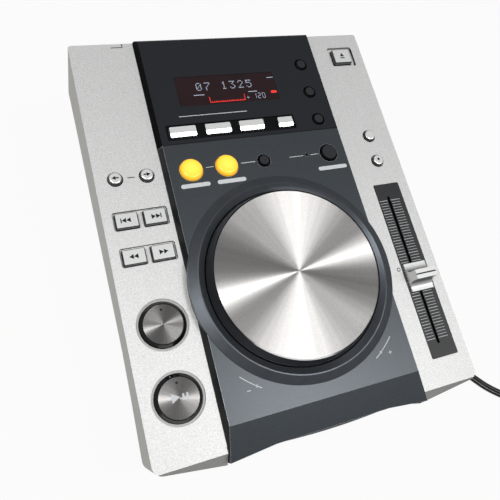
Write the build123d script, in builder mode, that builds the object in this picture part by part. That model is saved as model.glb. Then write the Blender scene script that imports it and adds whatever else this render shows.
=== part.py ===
from build123d import *
import os
from math import cos, pi, radians, sin, tan

os.makedirs("parts", exist_ok=True)

# Tabletop disc player with a sloping control deck.  Millimetres and degrees, +Z up, the
# user stands on the -Y side, and the origin is on the table under the middle of the box.

# ---- Driving dimensions ---------------------------------------------------------------
deck_tilt = 10.0  # the control deck climbs towards the rear
deck_length = 264.9  # along the slope
deck_width = 211.4  # between the two side creases
deck_front_height = 56.8  # of the silver deck's front edge above the table
foot_height = 6.0
skirt_depth = 47.5  # below the deck the side walls turn in
front_flare = 2.0  # how far the side walls stand out there past the deck's creases
waist_flare = 0.6
rear_flare = 2.7
corner_radius = 6.5
rear_corner_radius = 2.0
corner_sweep = 0.6  # the silver nose line at the outer corners
silver_sweep = 6.8  # the silver nose line beside the fascia
front_sweep = 5.4  # the fascia's nose line at its sides
nose_facet_drop = 9.0
case_wall = 2.4

fascia_rise = 5.3  # the dark centre stands this far above the silver deck
fascia_plate = 2.2
fascia_foot_half = 64.6
fascia_top_half = 61.8
fascia_end = 184.7  # where the fascia meets the display panel
fascia_mid_sweep = 2.7  # the nose line in the middle
fascia_mid_half = 37.0
nose_slope_start = 13.6
nose_lip = 3.0  # the fascia's lip in front of the slot panel
centre_gap = 0.2  # between the fascia and the display panel
rear_bevel = 3.4
window_half = 60.0  # the opening in the deck under the fascia
window_front = 14.0
window_rear = 250.0

jog_station = 88.5  # the jog wheel's centre on the deck
jog_plate_radius = 52.2
jog_plate_top = 13.5
jog_plate_thickness = 0.8
jog_ring_radius = 55.7
jog_gap = 0.6  # between the ring and the collar
collar_radius = 66.2
collar_crest_radius = 60.2
collar_crest = 8.4
spindle_radius = 4.0
running_clearance = 0.05

button_gap = 0.45
button_flange = 1.1
flange_thickness = 1.0
seat_gap = 0.2  # from a button's flange to the panel above it
stem_radius = 1.8
stem_gap = 0.8  # from a stem to its switch
switch_size = 6.0
switch_height = 3.4
board_thickness = 1.6
deck_board_depth = 11.0  # top of the boards under the silver deck
centre_board_depth = 6.0  # top of the board under the fascia

slot_width = 124.0
slot_opening = 5.0
slot_height = 30.0  # middle of the disc slot above the table
disc_radius = 60.0
slot_panel_wall = 2.4
slot_panel_depth = 46.0
slot_panel_bow = 1.4

screw_radius = 1.5
screw_head_radius = 2.9
screw_head = 1.4
boss_radius = 3.6
foot_radius = 10.0
foot_inset = 24.0
chassis_sheet = 1.2
chassis_gap = 0.4
chassis_flange = 9.8  # height of the upturned edge

jack_depth = 56.0  # below the deck's rear edge
jack_reach = 7.0  # past the rear edge of the case
rca_radius = 4.15
rca_spacing = 18.0
socket_radius = 1.75

# ---- Planes ---------------------------------------------------------------------------
tilt = radians(deck_tilt)
half_width = deck_width / 2


def rear_foot(height):
    """How far behind the deck's front edge the rear wall stands at a height."""
    return deck_length / cos(tilt) + (deck_front_height - height) * tan(tilt)


front_reach = front_sweep * cos(tilt)
jack_tip = (deck_length + jack_reach) * cos(tilt) + (jack_depth + rca_radius) * sin(tilt)
rear_reach = max(jack_tip, rear_foot(foot_height))
deck_front_y = (front_reach - rear_reach) / 2
deck_rear_height = deck_front_height + deck_length * sin(tilt)

across = Vector(1, 0, 0)
up_slope = Vector(0, cos(tilt), sin(tilt))
out_of_deck = Vector(0, -sin(tilt), cos(tilt))
deck_origin = Vector(0, deck_front_y, deck_front_height)

# Deck plane: X across, Y up the slope from the front edge, Z out of the deck.
deck = Plane(origin=deck_origin, x_dir=across, z_dir=out_of_deck)
# Long section: X up the slope, Y out of the deck.
section = Plane(origin=deck_origin, x_dir=up_slope, z_dir=across)
# Cross section through the jog wheel's axis: X across, Y out of the deck.
jog_centre = deck.from_local_coords((0, jog_station, 0))
jog_section = Plane(origin=jog_centre, x_dir=across, z_dir=up_slope * -1)
jog_axis = Axis(jog_centre, out_of_deck)
# Rear wall: X towards the user's left, Y up the wall from minus infinity to the deck, Z out.
rear_wall = Plane(origin=deck_origin + up_slope * deck_length, x_dir=across * -1, z_dir=up_slope)
foot_plane = Plane.XY.offset(foot_height)


def floor_y(station, height=foot_height):
    """Y of a wall square to the deck, through a station of the deck, at a height."""
    return deck_front_y + station / cos(tilt) + (deck_front_height - height) * tan(tilt)


# ---- Controls on the deck: centre across and up the slope ------------------------------
panel_top = {"silver": 0.0, "pocket": -2.0, "fascia": fascia_rise}
panel_bottom = {
    "silver": -case_wall,
    "pocket": -4.2,
    "fascia": fascia_rise - fascia_plate,
}
board_top = {
    "silver": -deck_board_depth,
    "pocket": -deck_board_depth,
    "fascia": -centre_board_depth,
}

small_diameter = 8.4
silver_diameter = 8.7
round_buttons = {
    # name: (panel, across, up the slope, diameter, height above the deck surface)
    "folder_back_button": ("silver", -93.6, 168.5, silver_diameter, 2.4),
    "folder_forward_button": ("silver", -74.5, 168.5, silver_diameter, 2.4),
    "tempo_range_button": ("silver", 87.9, 178.1, silver_diameter, 2.2),
    "tempo_lock_button": ("silver", 87.8, 158.2, silver_diameter, 2.2),
    "text_button": ("fascia", 49.4, 237.0, small_diameter, 6.3),
    "time_button": ("fascia", 49.4, 214.5, small_diameter, 6.3),
    "auto_cue_button": ("fascia", 49.4, 192.8, small_diameter, 6.3),
    "loop_in_button": ("fascia", -47.6, 166.2, 14.2, 7.9),
    "loop_out_button": ("fascia", -24.3, 166.2, 14.2, 7.9),
    "loop_exit_button": ("fascia", 1.3, 166.6, small_diameter, 6.5),
    "beat_loop_button": ("fascia", 48.9, 166.6, 12.3, 6.9),
}
amber_buttons = ("loop_in_button", "loop_out_button")

pocket_radius = 1.8
pocket_lip = 0.9
pockets = {
    # name: (across, up the slope, width, length)
    "track": (-83.4, 141.3, 33.0, 12.2),
    "search": (-83.4, 118.6, 33.0, 12.2),
    "eject": (88.1, 245.5, 20.6, 16.5),
}
pocket_buttons = {
    # name: (across, up the slope, width, length, height above the deck surface)
    "track_back_button": (-91.9, 141.3, 13.4, 9.4, 1.2),
    "track_forward_button": (-75.0, 141.3, 13.4, 9.4, 1.2),
    "search_back_button": (-91.9, 118.6, 13.4, 9.4, 1.2),
    "search_forward_button": (-75.0, 118.6, 13.4, 9.4, 1.2),
    "eject_button": (88.1, 245.5, 14.2, 11.4, 1.2),
}

bar_station = 192.9
bar_length = 6.8
bar_rise = 6.6
bar_facet = (2.5, 1.0)  # the front slope of a bar: along the deck and down
bar_recess = 0.9
bar_recess_margin = 2.0
bar_buttons = {
    # name: (across, width)
    "jet_button": (-46.8, 17.1),
    "filter_button": (-23.4, 17.1),
    "wah_button": (-0.2, 17.1),
    "hold_button": (24.2, 10.6),
}

cap_diameter = 26.4
cap_rise = 2.1
cap_bevel = 1.3
cap_inlay = 22.8  # the shallow seat for the metal disc on a big button
cap_inlay_depth = 0.4
cap_rim_width = 1.8
cap_rim_depth = 0.8
big_buttons = {
    # name: (across, up the slope)
    "cue_button": (-84.2, 76.4),
    "play_button": (-84.4, 35.0),
}

display_across = -9.4
display_station = 222.0
display_width = 69.6
display_length = 21.9
lens_flange = 2.0
lens_gap = 0.15
lamp_across = 32.6
lamp_station = 167.0
lamp_radius = 1.2

tempo_across = 86.4
plate_across = 87.9
plate_width = 20.2
plate_length = 122.8
plate_station = 78.7
plate_thickness = 0.6
fader_slot_width = 2.0
fader_slot_length = 104.4
fader_slot_station = 78.4
lever_width = 1.2
lever_length = 5.0
knob_station = 71.6
knob_width = 17.0
knob_lean = 0.7  # of each side of the knob, from its foot to its ridge
knob_length = 19.1
knob_rise = 10.3
knob_ridge = 6.2
knob_end_rise = 1.2
knob_scoop = 4.5
knob_gap = 0.4


# ---- Silver top casing ----------------------------------------------------------------
def round_outer_corners():
    """Round the corners of the pending outline that lie outside the fascia."""
    for end, radius in ((0, corner_radius), (-1, rear_corner_radius)):
        beside_fascia = vertices().filter_by_position(
            Axis.X, -fascia_foot_half, fascia_foot_half
        )
        fillet((vertices() - beside_fascia).group_by(Axis.Y)[end], radius)


def straight_outline(front, nose, rear, inset):
    """Outline with straight sides, taken in by an inset; its ends are given along Y."""
    with BuildSketch() as outline:
        with BuildLine():
            Polyline(
                (-half_width, front),
                (-fascia_foot_half, nose),
                (fascia_foot_half, nose),
                (half_width, front),
                (half_width, rear),
                (-half_width, rear),
                close=True,
            )
        make_face()
        round_outer_corners()
        offset(amount=-inset, kind=Kind.INTERSECTION)
    return outline.sketch


def deck_outline(inset):
    """The deck's outline, taken in by an inset."""
    return straight_outline(-corner_sweep, -silver_sweep, deck_length, inset)


def foot_outline(inset):
    """The casing's outline at the foot, taken in by an inset."""
    return straight_outline(
        floor_y(-corner_sweep), floor_y(-silver_sweep), floor_y(deck_length), inset
    )


def skirt_outline(inset):
    """The outline where the waisted side walls turn in, taken in by an inset."""
    with BuildSketch() as outline:
        with BuildLine():
            Polyline(
                (-half_width - front_flare, -corner_sweep),
                (-fascia_foot_half, -silver_sweep),
                (fascia_foot_half, -silver_sweep),
                (half_width + front_flare, -corner_sweep),
            )
            ThreePointArc(
                (half_width + front_flare, -corner_sweep),
                (half_width + waist_flare, deck_length / 2),
                (half_width + rear_flare, deck_length),
            )
            Line((half_width + rear_flare, deck_length), (-half_width - rear_flare, deck_length))
            ThreePointArc(
                (-half_width - rear_flare, deck_length),
                (-half_width - waist_flare, deck_length / 2),
                (-half_width - front_flare, -corner_sweep),
            )
        make_face()
        round_outer_corners()
        offset(amount=-inset, kind=Kind.INTERSECTION)
    return outline.sketch


def casing_block(inset, roof):
    """The wedge between the deck and the foot, taken in by a wall and a roof."""
    with BuildPart() as block:
        with BuildSketch(deck.offset(-roof)):
            add(deck_outline(inset))
        with BuildSketch(deck.offset(-skirt_depth)):
            add(skirt_outline(inset))
        loft(ruled=True)
        with BuildSketch(deck.offset(-skirt_depth)):
            add(skirt_outline(inset))
        with BuildSketch(foot_plane):
            add(foot_outline(inset))
        loft(ruled=True)
    return block.part


casing_form = casing_block(0, 0)
facet_room = nose_facet_drop + case_wall + 1.0
casing_cavity = casing_block(case_wall, facet_room)

column_front = 9.0
column_rear = deck_length - 8.4
front_column_across = 97.0
rear_column_across = 64.0
columns = [
    (side * column_across, deck_front_y + station * cos(tilt))
    for side in (-1, 1)
    for column_across, station in (
        (front_column_across, column_front),
        (rear_column_across, column_rear),
    )
]
post_radius = 2.5
left_board = (-83.0, 98.0, 31.0, 168.0)  # across, up the slope, width, length
right_board = (88.0, 202.2, 22.0, 115.6)
post_margin = 3.2
rear_window_half = 96.0
rear_window_top = 12.0
rear_window_bottom = 86.0
notch_back = 3.5
notch_gap = 0.2


def board_posts(board):
    """Places of the four posts that carry a board."""
    u, v, width, length = board
    return [
        (u + side * (width / 2 - post_margin), v + end * (length / 2 - post_margin))
        for side in (-1, 1)
        for end in (-1, 1)
    ]


with BuildPart() as top_casing:
    add(casing_form)
    with BuildSketch(section):
        Polygon(
            (0, 0),
            (-2 * silver_sweep, -2 * nose_facet_drop),
            (-2 * silver_sweep, nose_facet_drop),
            (0, nose_facet_drop),
            align=None,
        )
    extrude(amount=deck_width, both=True, mode=Mode.SUBTRACT)
    add(casing_cavity, mode=Mode.SUBTRACT)
    with BuildSketch(deck.offset(-facet_room)):
        with Locations((0, deck_length / 2)):
            RectangleRounded(
                deck_width - 2 * case_wall,
                deck_length - 2 * case_wall,
                corner_radius - case_wall,
            )
    extrude(amount=facet_room - case_wall, mode=Mode.SUBTRACT)
    with BuildSketch(deck.offset(-case_wall)):
        with Locations((0, (window_front + window_rear) / 2)):
            RectangleRounded(2 * window_half, window_rear - window_front, 4.0)
    extrude(amount=2 * case_wall, mode=Mode.SUBTRACT)
    # Notch for the fascia's nose and the slot panel
    with BuildSketch(section):
        with Locations((0, 0)):
            Polygon(
                (notch_back, nose_lip),
                (-2 * silver_sweep, nose_lip),
                (-2 * silver_sweep, -slot_panel_depth - notch_gap),
                (notch_back, -slot_panel_depth - notch_gap),
                align=None,
            )
    extrude(amount=fascia_foot_half + notch_gap, both=True, mode=Mode.SUBTRACT)
    # Rear window
    with BuildSketch(rear_wall):
        with Locations((0, -(rear_window_top + rear_window_bottom) / 2)):
            RectangleRounded(2 * rear_window_half, rear_window_bottom - rear_window_top, 3.0)
    extrude(amount=-2 * case_wall, mode=Mode.SUBTRACT)
    # Trays under the pockets, pockets and the holes in them
    for u, v, width, length in pockets.values():
        with BuildSketch(deck.offset(panel_bottom["pocket"])):
            with Locations((u, v)):
                RectangleRounded(width + 2 * case_wall, length + 2 * case_wall, pocket_radius + 1)
        extrude(amount=-panel_bottom["pocket"] - case_wall)
    for u, v, width, length in pockets.values():
        with BuildSketch(deck.offset(panel_top["pocket"])):
            with Locations((u, v)):
                RectangleRounded(width, length, pocket_radius)
        extrude(amount=case_wall, mode=Mode.SUBTRACT)
    for u, v, width, length, rise in pocket_buttons.values():
        with BuildSketch(deck.offset(panel_bottom["pocket"])):
            with Locations((u, v)):
                RectangleRounded(width + 2 * button_gap, length + 2 * button_gap, pocket_lip)
        extrude(amount=case_wall, mode=Mode.SUBTRACT)
    # Round holes, and shallow rims about the big buttons
    with BuildSketch(deck.offset(-case_wall)):
        for panel, u, v, diameter, rise in round_buttons.values():
            if panel == "silver":
                with Locations((u, v)):
                    Circle(diameter / 2 + button_gap)
        for u, v in big_buttons.values():
            with Locations((u, v)):
                Circle(cap_diameter / 2 + button_gap)
    extrude(amount=2 * case_wall, mode=Mode.SUBTRACT)
    with BuildSketch(deck.offset(-cap_rim_depth)):
        for u, v in big_buttons.values():
            with Locations((u, v)):
                Circle(cap_diameter / 2 + cap_rim_width)
    extrude(amount=case_wall, mode=Mode.SUBTRACT)
    # Seat and slot for the tempo scale
    with BuildSketch(deck.offset(-plate_thickness)):
        with Locations((plate_across, plate_station)):
            RectangleRounded(plate_width + 0.2, plate_length + 0.2, 1.0)
    extrude(amount=case_wall, mode=Mode.SUBTRACT)
    with BuildSketch(deck.offset(-case_wall)):
        with Locations((tempo_across, fader_slot_station)):
            Rectangle(fader_slot_width, fader_slot_length)
    extrude(amount=case_wall, mode=Mode.SUBTRACT)
    # Screw columns from the deck to the chassis, and the posts that carry the boards
    with BuildSketch(Plane.XY.offset(foot_height + chassis_sheet)):
        with Locations(*columns):
            Circle(boss_radius)
    extrude(until=Until.NEXT)
    with BuildSketch(Plane.XY.offset(foot_height)):
        with Locations(*columns):
            Circle(screw_radius + running_clearance)
    extrude(amount=16.0, mode=Mode.SUBTRACT)
    with BuildSketch(deck.offset(-deck_board_depth)):
        with Locations(*board_posts(left_board), *board_posts(right_board)):
            Circle(post_radius)
    extrude(amount=deck_board_depth - case_wall / 2)
top_casing.part.label = "top_casing"
export_step(top_casing.part, "parts/top_casing.step")

# ---- Dark centre fascia -----------------------------------------------------------------
nose_slope = fascia_rise / (nose_slope_start + front_sweep)
nose_back = fascia_plate - fascia_mid_sweep
collar_spigot = 57.8
fascia_under = panel_bottom["fascia"]
side_post_across = 53.0
fascia_post_station = 180.5
panel_post_station = 247.0
fascia_posts = [(-side_post_across, fascia_post_station), (side_post_across, fascia_post_station)]
panel_posts = [(-side_post_across, panel_post_station), (side_post_across, panel_post_station)]


def slope_height(station):
    """Height of the fascia's front slope above the silver deck at a station."""
    return fascia_rise - nose_slope * (nose_slope_start - station)


def trim_sides(length):
    """Prisms that lean the fascia's two long sides inwards."""
    with BuildPart() as trims:
        with BuildSketch(jog_section):
            for side in (-1, 1):
                Polygon(
                    (side * fascia_top_half, fascia_rise),
                    (side * fascia_foot_half, 0),
                    (side * 2 * fascia_foot_half, 0),
                    (side * 2 * fascia_foot_half, 2 * fascia_rise),
                    (side * fascia_top_half, 2 * fascia_rise),
                    align=None,
                )
        extrude(amount=length, both=True)
    return trims.part


side_trims = trim_sides(deck_length)

with BuildPart() as centre_fascia:
    with BuildSketch(deck.offset(-nose_lip)):
        with BuildLine():
            Polyline(
                (-fascia_foot_half, -front_sweep),
                (-fascia_mid_half, -fascia_mid_sweep),
                (fascia_mid_half, -fascia_mid_sweep),
                (fascia_foot_half, -front_sweep),
                (fascia_foot_half, fascia_end),
                (-fascia_foot_half, fascia_end),
                close=True,
            )
        make_face()
    extrude(amount=nose_lip + fascia_rise)
    with BuildSketch(section):
        Polygon(
            (nose_slope_start, fascia_rise),
            (-2 * front_sweep, slope_height(-2 * front_sweep)),
            (-2 * front_sweep, 2 * fascia_rise),
            (nose_slope_start, 2 * fascia_rise),
            align=None,
        )
    extrude(amount=deck_width, both=True, mode=Mode.SUBTRACT)
    add(side_trims, mode=Mode.SUBTRACT)
    # The round boss under the jog collar swells out over the silver deck
    with BuildSketch(deck):
        with Locations((0, jog_station)):
            Circle(collar_radius)
    extrude(amount=fascia_rise)
    with BuildSketch(section):
        Polygon(
            (nose_back, -2 * nose_lip),
            (nose_back, 0),
            (2 * fascia_end, 0),
            (2 * fascia_end, -2 * nose_lip),
            align=None,
        )
    extrude(amount=deck_width, both=True, mode=Mode.SUBTRACT)
    with BuildSketch(section):
        Polygon(
            (nose_back, -2 * nose_lip),
            (nose_back, slope_height(nose_back) - fascia_plate),
            (nose_slope_start, fascia_under),
            (2 * fascia_end, fascia_under),
            (2 * fascia_end, -2 * nose_lip),
            align=None,
        )
    extrude(amount=window_half, both=True, mode=Mode.SUBTRACT)
    with BuildSketch(deck):
        with Locations((0, jog_station)):
            Circle(collar_spigot + lens_gap)
        with Locations((lamp_across, lamp_station)):
            Circle(lamp_radius)
        for panel, u, v, diameter, rise in round_buttons.values():
            if panel == "fascia" and v < fascia_end:
                with Locations((u, v)):
                    Circle(diameter / 2 + button_gap)
    extrude(amount=2 * fascia_rise, mode=Mode.SUBTRACT)
    with BuildSketch(deck.offset(-centre_board_depth)):
        with Locations(*fascia_posts):
            Circle(post_radius)
    extrude(amount=centre_board_depth + fascia_under + fascia_plate / 2)
centre_fascia.part.label = "centre_fascia"
export_step(centre_fascia.part, "parts/centre_fascia.step")

# ---- Charcoal display panel -------------------------------------------------------------
panel_start = fascia_end + centre_gap
panel_back_wall = 3.0
bevel_foot = 2.0

with BuildPart() as display_panel:
    with BuildSketch(deck):
        with Locations((0, (panel_start + deck_length) / 2)):
            Rectangle(2 * fascia_foot_half, deck_length - panel_start)
    extrude(amount=fascia_rise)
    add(side_trims, mode=Mode.SUBTRACT)
    with BuildSketch(section):
        Polygon(
            (deck_length - rear_bevel, fascia_rise),
            (deck_length, bevel_foot),
            (2 * deck_length, bevel_foot),
            (2 * deck_length, 2 * fascia_rise),
            (deck_length - rear_bevel, 2 * fascia_rise),
            align=None,
        )
    extrude(amount=deck_width, both=True, mode=Mode.SUBTRACT)
    with BuildSketch(section):
        Polygon(
            (0, 0),
            (0, fascia_under),
            (deck_length - rear_bevel - panel_back_wall, fascia_under),
            (deck_length - rear_bevel - panel_back_wall, 0),
            align=None,
        )
    extrude(amount=window_half, both=True, mode=Mode.SUBTRACT)
    with BuildSketch(deck.offset(fascia_rise - bar_recess)):
        left = min(u - width / 2 for u, width in bar_buttons.values()) - bar_recess_margin
        right = max(u + width / 2 for u, width in bar_buttons.values()) + bar_recess_margin
        with Locations(((left + right) / 2, bar_station)):
            RectangleRounded(right - left, bar_length + 2 * bar_recess_margin, 1.0)
    extrude(amount=fascia_rise, mode=Mode.SUBTRACT)
    with BuildSketch(deck):
        for u, width in bar_buttons.values():
            with Locations((u, bar_station)):
                RectangleRounded(width + 2 * button_gap, bar_length + 2 * button_gap, 1.0)
        for panel, u, v, diameter, rise in round_buttons.values():
            if panel == "fascia" and v > fascia_end:
                with Locations((u, v)):
                    Circle(diameter / 2 + button_gap)
        with Locations((display_across, display_station)):
            Rectangle(display_width, display_length)
    extrude(amount=2 * fascia_rise, mode=Mode.SUBTRACT)
    with BuildSketch(deck.offset(-centre_board_depth)):
        with Locations(*panel_posts):
            Circle(post_radius)
    extrude(amount=centre_board_depth + fascia_under + fascia_plate / 2)
display_panel.part.label = "display_panel"
export_step(display_panel.part, "parts/display_panel.step")

with BuildPart() as display_window:
    with BuildSketch(deck.offset(fascia_under - flange_thickness)):
        with Locations((display_across, display_station)):
            Rectangle(display_width + 2 * lens_flange, display_length + 2 * lens_flange)
    extrude(amount=flange_thickness)
    with BuildSketch(deck.offset(fascia_under)):
        with Locations((display_across, display_station)):
            Rectangle(display_width - 2 * lens_gap, display_length - 2 * lens_gap)
    extrude(amount=fascia_plate - lens_gap)
display_window.part.label = "display_window"
export_step(display_window.part, "parts/display_window.step")

module_clearance = 0.4
module_pin = 0.4
module_top = fascia_under - flange_thickness - module_clearance

with BuildPart() as display_module:
    with BuildSketch(deck.offset(-centre_board_depth)):
        with Locations((display_across, display_station)):
            Rectangle(display_width + lens_flange, display_length + lens_flange)
    extrude(amount=centre_board_depth + module_top)
    with BuildSketch(deck.offset(module_top - module_pin)):
        with Locations((display_across, display_station)):
            Rectangle(display_width - 2 * lens_flange, display_length - 2 * lens_flange)
    extrude(amount=2 * module_pin, mode=Mode.SUBTRACT)
display_module.part.label = "display_module"
export_step(display_module.part, "parts/display_module.step")

# ---- Slot panel ---------------------------------------------------------------------------
slot_plane = Plane(
    origin=(0, deck_front_y - 2 * front_sweep, slot_height), x_dir=across, z_dir=(0, 1, 0)
)
slot_end = slot_panel_depth
slot_edge = 0.8

with BuildPart() as slot_panel:
    with BuildSketch(deck.offset(-slot_end)):
        with BuildLine():
            front_left = (-fascia_foot_half, slot_panel_wall - fascia_mid_sweep)
            Polyline(
                (-fascia_mid_half, -fascia_mid_sweep),
                (-fascia_foot_half, -front_sweep),
                front_left,
                (-front_left[0], front_left[1]),
                (fascia_foot_half, -front_sweep),
                (fascia_mid_half, -fascia_mid_sweep),
            )
            ThreePointArc(
                (fascia_mid_half, -fascia_mid_sweep),
                (0, -fascia_mid_sweep - slot_panel_bow),
                (-fascia_mid_half, -fascia_mid_sweep),
            )
        make_face()
    extrude(amount=slot_end - nose_lip)
    with BuildSketch(slot_plane):
        RectangleRounded(slot_width, slot_opening, slot_opening / 2 - 0.1)
    extrude(amount=6 * front_sweep, mode=Mode.SUBTRACT)
slot_panel.part.label = "slot_panel"
export_step(slot_panel.part, "parts/slot_panel.step")

# ---- Jog wheel ----------------------------------------------------------------------------
collar_bore = jog_ring_radius + jog_gap
collar_foot = fascia_rise
plate_bottom = jog_plate_top - jog_plate_thickness
ring_foot = -5.0
ring_wall = 1.6
ring_web = 1.5
ring_shoulder = 6.2
ring_lip = 0.4
hub_radius = 7.5
base_boss_top = -1.0
base_boss_bottom = -20.0
base_wall_radius = 58.6
base_cup_radius = 57.0
base_floor_top = -9.0
base_floor = 1.8
base_flange_radius = window_half - 0.3
rest_gap = 0.3
clip_radius = 6.0
clip_thickness = 1.0
spoke_count = 5
tooth_count = 36
tooth_width = 2.2
tooth_height = 2.4

with BuildPart() as jog_collar:
    with BuildSketch(jog_section):
        with BuildLine():
            Polyline(
                (collar_bore, fascia_under - 0.5),
                (collar_spigot, fascia_under - 0.5),
                (collar_spigot, collar_foot),
                (collar_radius, collar_foot),
                (collar_radius, collar_foot + 0.6),
                (collar_crest_radius + 0.7, collar_crest - 0.1),
                (collar_crest_radius, collar_crest),
                (collar_crest_radius - 0.6, collar_crest - 0.4),
                (collar_bore, collar_crest - 2.7),
                close=True,
            )
        make_face()
    revolve(axis=jog_axis)
jog_collar.part.label = "jog_collar"
export_step(jog_collar.part, "parts/jog_collar.step")

with BuildPart() as jog_base:
    with BuildSketch(jog_section):
        with BuildLine():
            Polyline(
                (spindle_radius + running_clearance, base_boss_bottom),
                (hub_radius, base_boss_bottom),
                (hub_radius, base_floor_top - base_floor),
                (base_wall_radius, base_floor_top - base_floor),
                (base_wall_radius, 1.0),
                (base_flange_radius, 1.0),
                (base_flange_radius, fascia_under),
                (base_wall_radius, fascia_under),
                (base_wall_radius, fascia_under - 0.8),
                (base_cup_radius, fascia_under - 0.8),
                (base_cup_radius, base_floor_top),
                (hub_radius, base_floor_top),
                (hub_radius, base_boss_top),
                (spindle_radius + running_clearance, base_boss_top),
                close=True,
            )
        make_face()
    revolve(axis=jog_axis)
    with BuildSketch(Plane(origin=jog_centre, x_dir=across, z_dir=out_of_deck).offset(
            base_floor_top)):
        with PolarLocations(hub_radius + 17, spoke_count):
            SlotOverall(30, 3.0)
    extrude(amount=3.0)
jog_base.part.label = "jog_base"
export_step(jog_base.part, "parts/jog_base.step")

with BuildPart() as jog_ring:
    with BuildSketch(jog_section):
        with BuildLine():
            Polyline(
                (spindle_radius + running_clearance, plate_bottom),
                (jog_plate_radius + lens_gap, plate_bottom),
                (jog_plate_radius + lens_gap, jog_plate_top + ring_lip),
                (jog_plate_radius + 0.8, jog_plate_top + ring_lip),
                (jog_ring_radius, ring_shoulder),
                (jog_ring_radius, ring_foot),
                (jog_ring_radius - ring_wall, ring_foot),
                (jog_ring_radius - ring_wall, ring_shoulder),
                (jog_plate_radius - ring_wall, plate_bottom - ring_web),
                (hub_radius, plate_bottom - ring_web),
                (hub_radius, base_boss_top + rest_gap),
                (spindle_radius + running_clearance, base_boss_top + rest_gap),
                close=True,
            )
        make_face()
    revolve(axis=jog_axis)
    # Sensor teeth round the foot of the skirt
    with BuildSketch(Plane(origin=jog_centre, x_dir=across, z_dir=out_of_deck).offset(ring_foot)):
        with PolarLocations(jog_ring_radius - ring_wall / 2, tooth_count):
            Rectangle(2 * ring_wall, tooth_width)
    extrude(amount=tooth_height, mode=Mode.SUBTRACT)
jog_ring.part.label = "jog_ring"
export_step(jog_ring.part, "parts/jog_ring.step")

with BuildPart() as jog_plate:
    with BuildSketch(Plane(origin=jog_centre, x_dir=across, z_dir=out_of_deck).offset(
            plate_bottom)):
        Circle(jog_plate_radius)
    extrude(amount=jog_plate_thickness)
jog_plate.part.label = "jog_plate"
export_step(jog_plate.part, "parts/jog_plate.step")

with BuildPart() as jog_spindle:
    with BuildSketch(jog_section):
        with BuildLine():
            clip_top = base_boss_bottom - rest_gap
            Polyline(
                (0, plate_bottom),
                (spindle_radius, plate_bottom),
                (spindle_radius, clip_top),
                (clip_radius, clip_top),
                (clip_radius, clip_top - clip_thickness),
                (spindle_radius, clip_top - clip_thickness),
                (spindle_radius, clip_top - 2 * clip_thickness),
                (0, clip_top - 2 * clip_thickness),
                close=True,
            )
        make_face()
    revolve(axis=jog_axis)
jog_spindle.part.label = "jog_spindle"
export_step(jog_spindle.part, "parts/jog_spindle.step")

# ---- Buttons ------------------------------------------------------------------------------
edge_bevel = 0.45
dark_bevel = 1.1  # of the black buttons on the fascia
silver_round = 1.7
amber_round = 2.2


def deck_top(faces_of):
    """Edges round the face that is furthest out of the deck."""
    return faces_of.sort_by(Axis(deck_origin, out_of_deck))[-1].edges()


for name, (panel, u, v, diameter, rise) in round_buttons.items():
    flange_top = panel_bottom[panel] - seat_gap
    stem_end = board_top[panel] + switch_height + stem_gap
    with BuildPart() as button:
        with BuildSketch(deck.offset(flange_top)):
            with Locations((u, v)):
                Circle(diameter / 2)
        extrude(amount=rise - flange_top)
        if name in amber_buttons:
            fillet(deck_top(faces()), amber_round)
        elif panel == "silver":
            fillet(deck_top(faces()), silver_round)
        else:
            chamfer(deck_top(faces()), dark_bevel)
        with BuildSketch(deck.offset(flange_top - flange_thickness)):
            with Locations((u, v)):
                Circle(diameter / 2 + button_flange)
        extrude(amount=flange_thickness)
        with BuildSketch(deck.offset(stem_end)):
            with Locations((u, v)):
                Circle(stem_radius)
        extrude(amount=flange_top - stem_end)
    button.part.label = name
    export_step(button.part, f"parts/{name}.step")

for name, (u, v, width, length, rise) in pocket_buttons.items():
    flange_top = panel_bottom["pocket"] - seat_gap
    stem_end = board_top["pocket"] + switch_height + stem_gap
    with BuildPart() as button:
        with BuildSketch(deck.offset(flange_top)):
            with Locations((u, v)):
                RectangleRounded(width, length, 0.7)
        extrude(amount=rise - flange_top)
        chamfer(deck_top(faces()), edge_bevel)
        with BuildSketch(deck.offset(flange_top - flange_thickness)):
            with Locations((u, v)):
                Rectangle(width + 2 * button_flange, length + 2 * button_flange)
        extrude(amount=flange_thickness)
        with BuildSketch(deck.offset(stem_end)):
            with Locations((u, v)):
                Circle(stem_radius)
        extrude(amount=flange_top - stem_end)
    button.part.label = name
    export_step(button.part, f"parts/{name}.step")

for name, (u, width) in bar_buttons.items():
    flange_top = panel_bottom["fascia"] - seat_gap
    stem_end = board_top["fascia"] + switch_height + stem_gap
    with BuildPart() as button:
        with BuildSketch(deck.offset(flange_top)):
            with Locations((u, bar_station)):
                RectangleRounded(width, bar_length, 0.8)
        extrude(amount=bar_rise - flange_top)
        with BuildSketch(section):
            Polygon(
                (bar_station - bar_length / 2, bar_rise - bar_facet[1]),
                (bar_station - bar_length / 2 + bar_facet[0], bar_rise),
                (bar_station - bar_length / 2, bar_rise),
                align=None,
            )
        extrude(amount=half_width, both=True, mode=Mode.SUBTRACT)
        with BuildSketch(deck.offset(flange_top - flange_thickness)):
            with Locations((u, bar_station)):
                Rectangle(width + 2 * button_flange, bar_length + 2 * button_flange)
        extrude(amount=flange_thickness)
        with BuildSketch(deck.offset(stem_end)):
            with Locations((u, bar_station)):
                Circle(stem_radius)
        extrude(amount=flange_top - stem_end)
    button.part.label = name
    export_step(button.part, f"parts/{name}.step")

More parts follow.
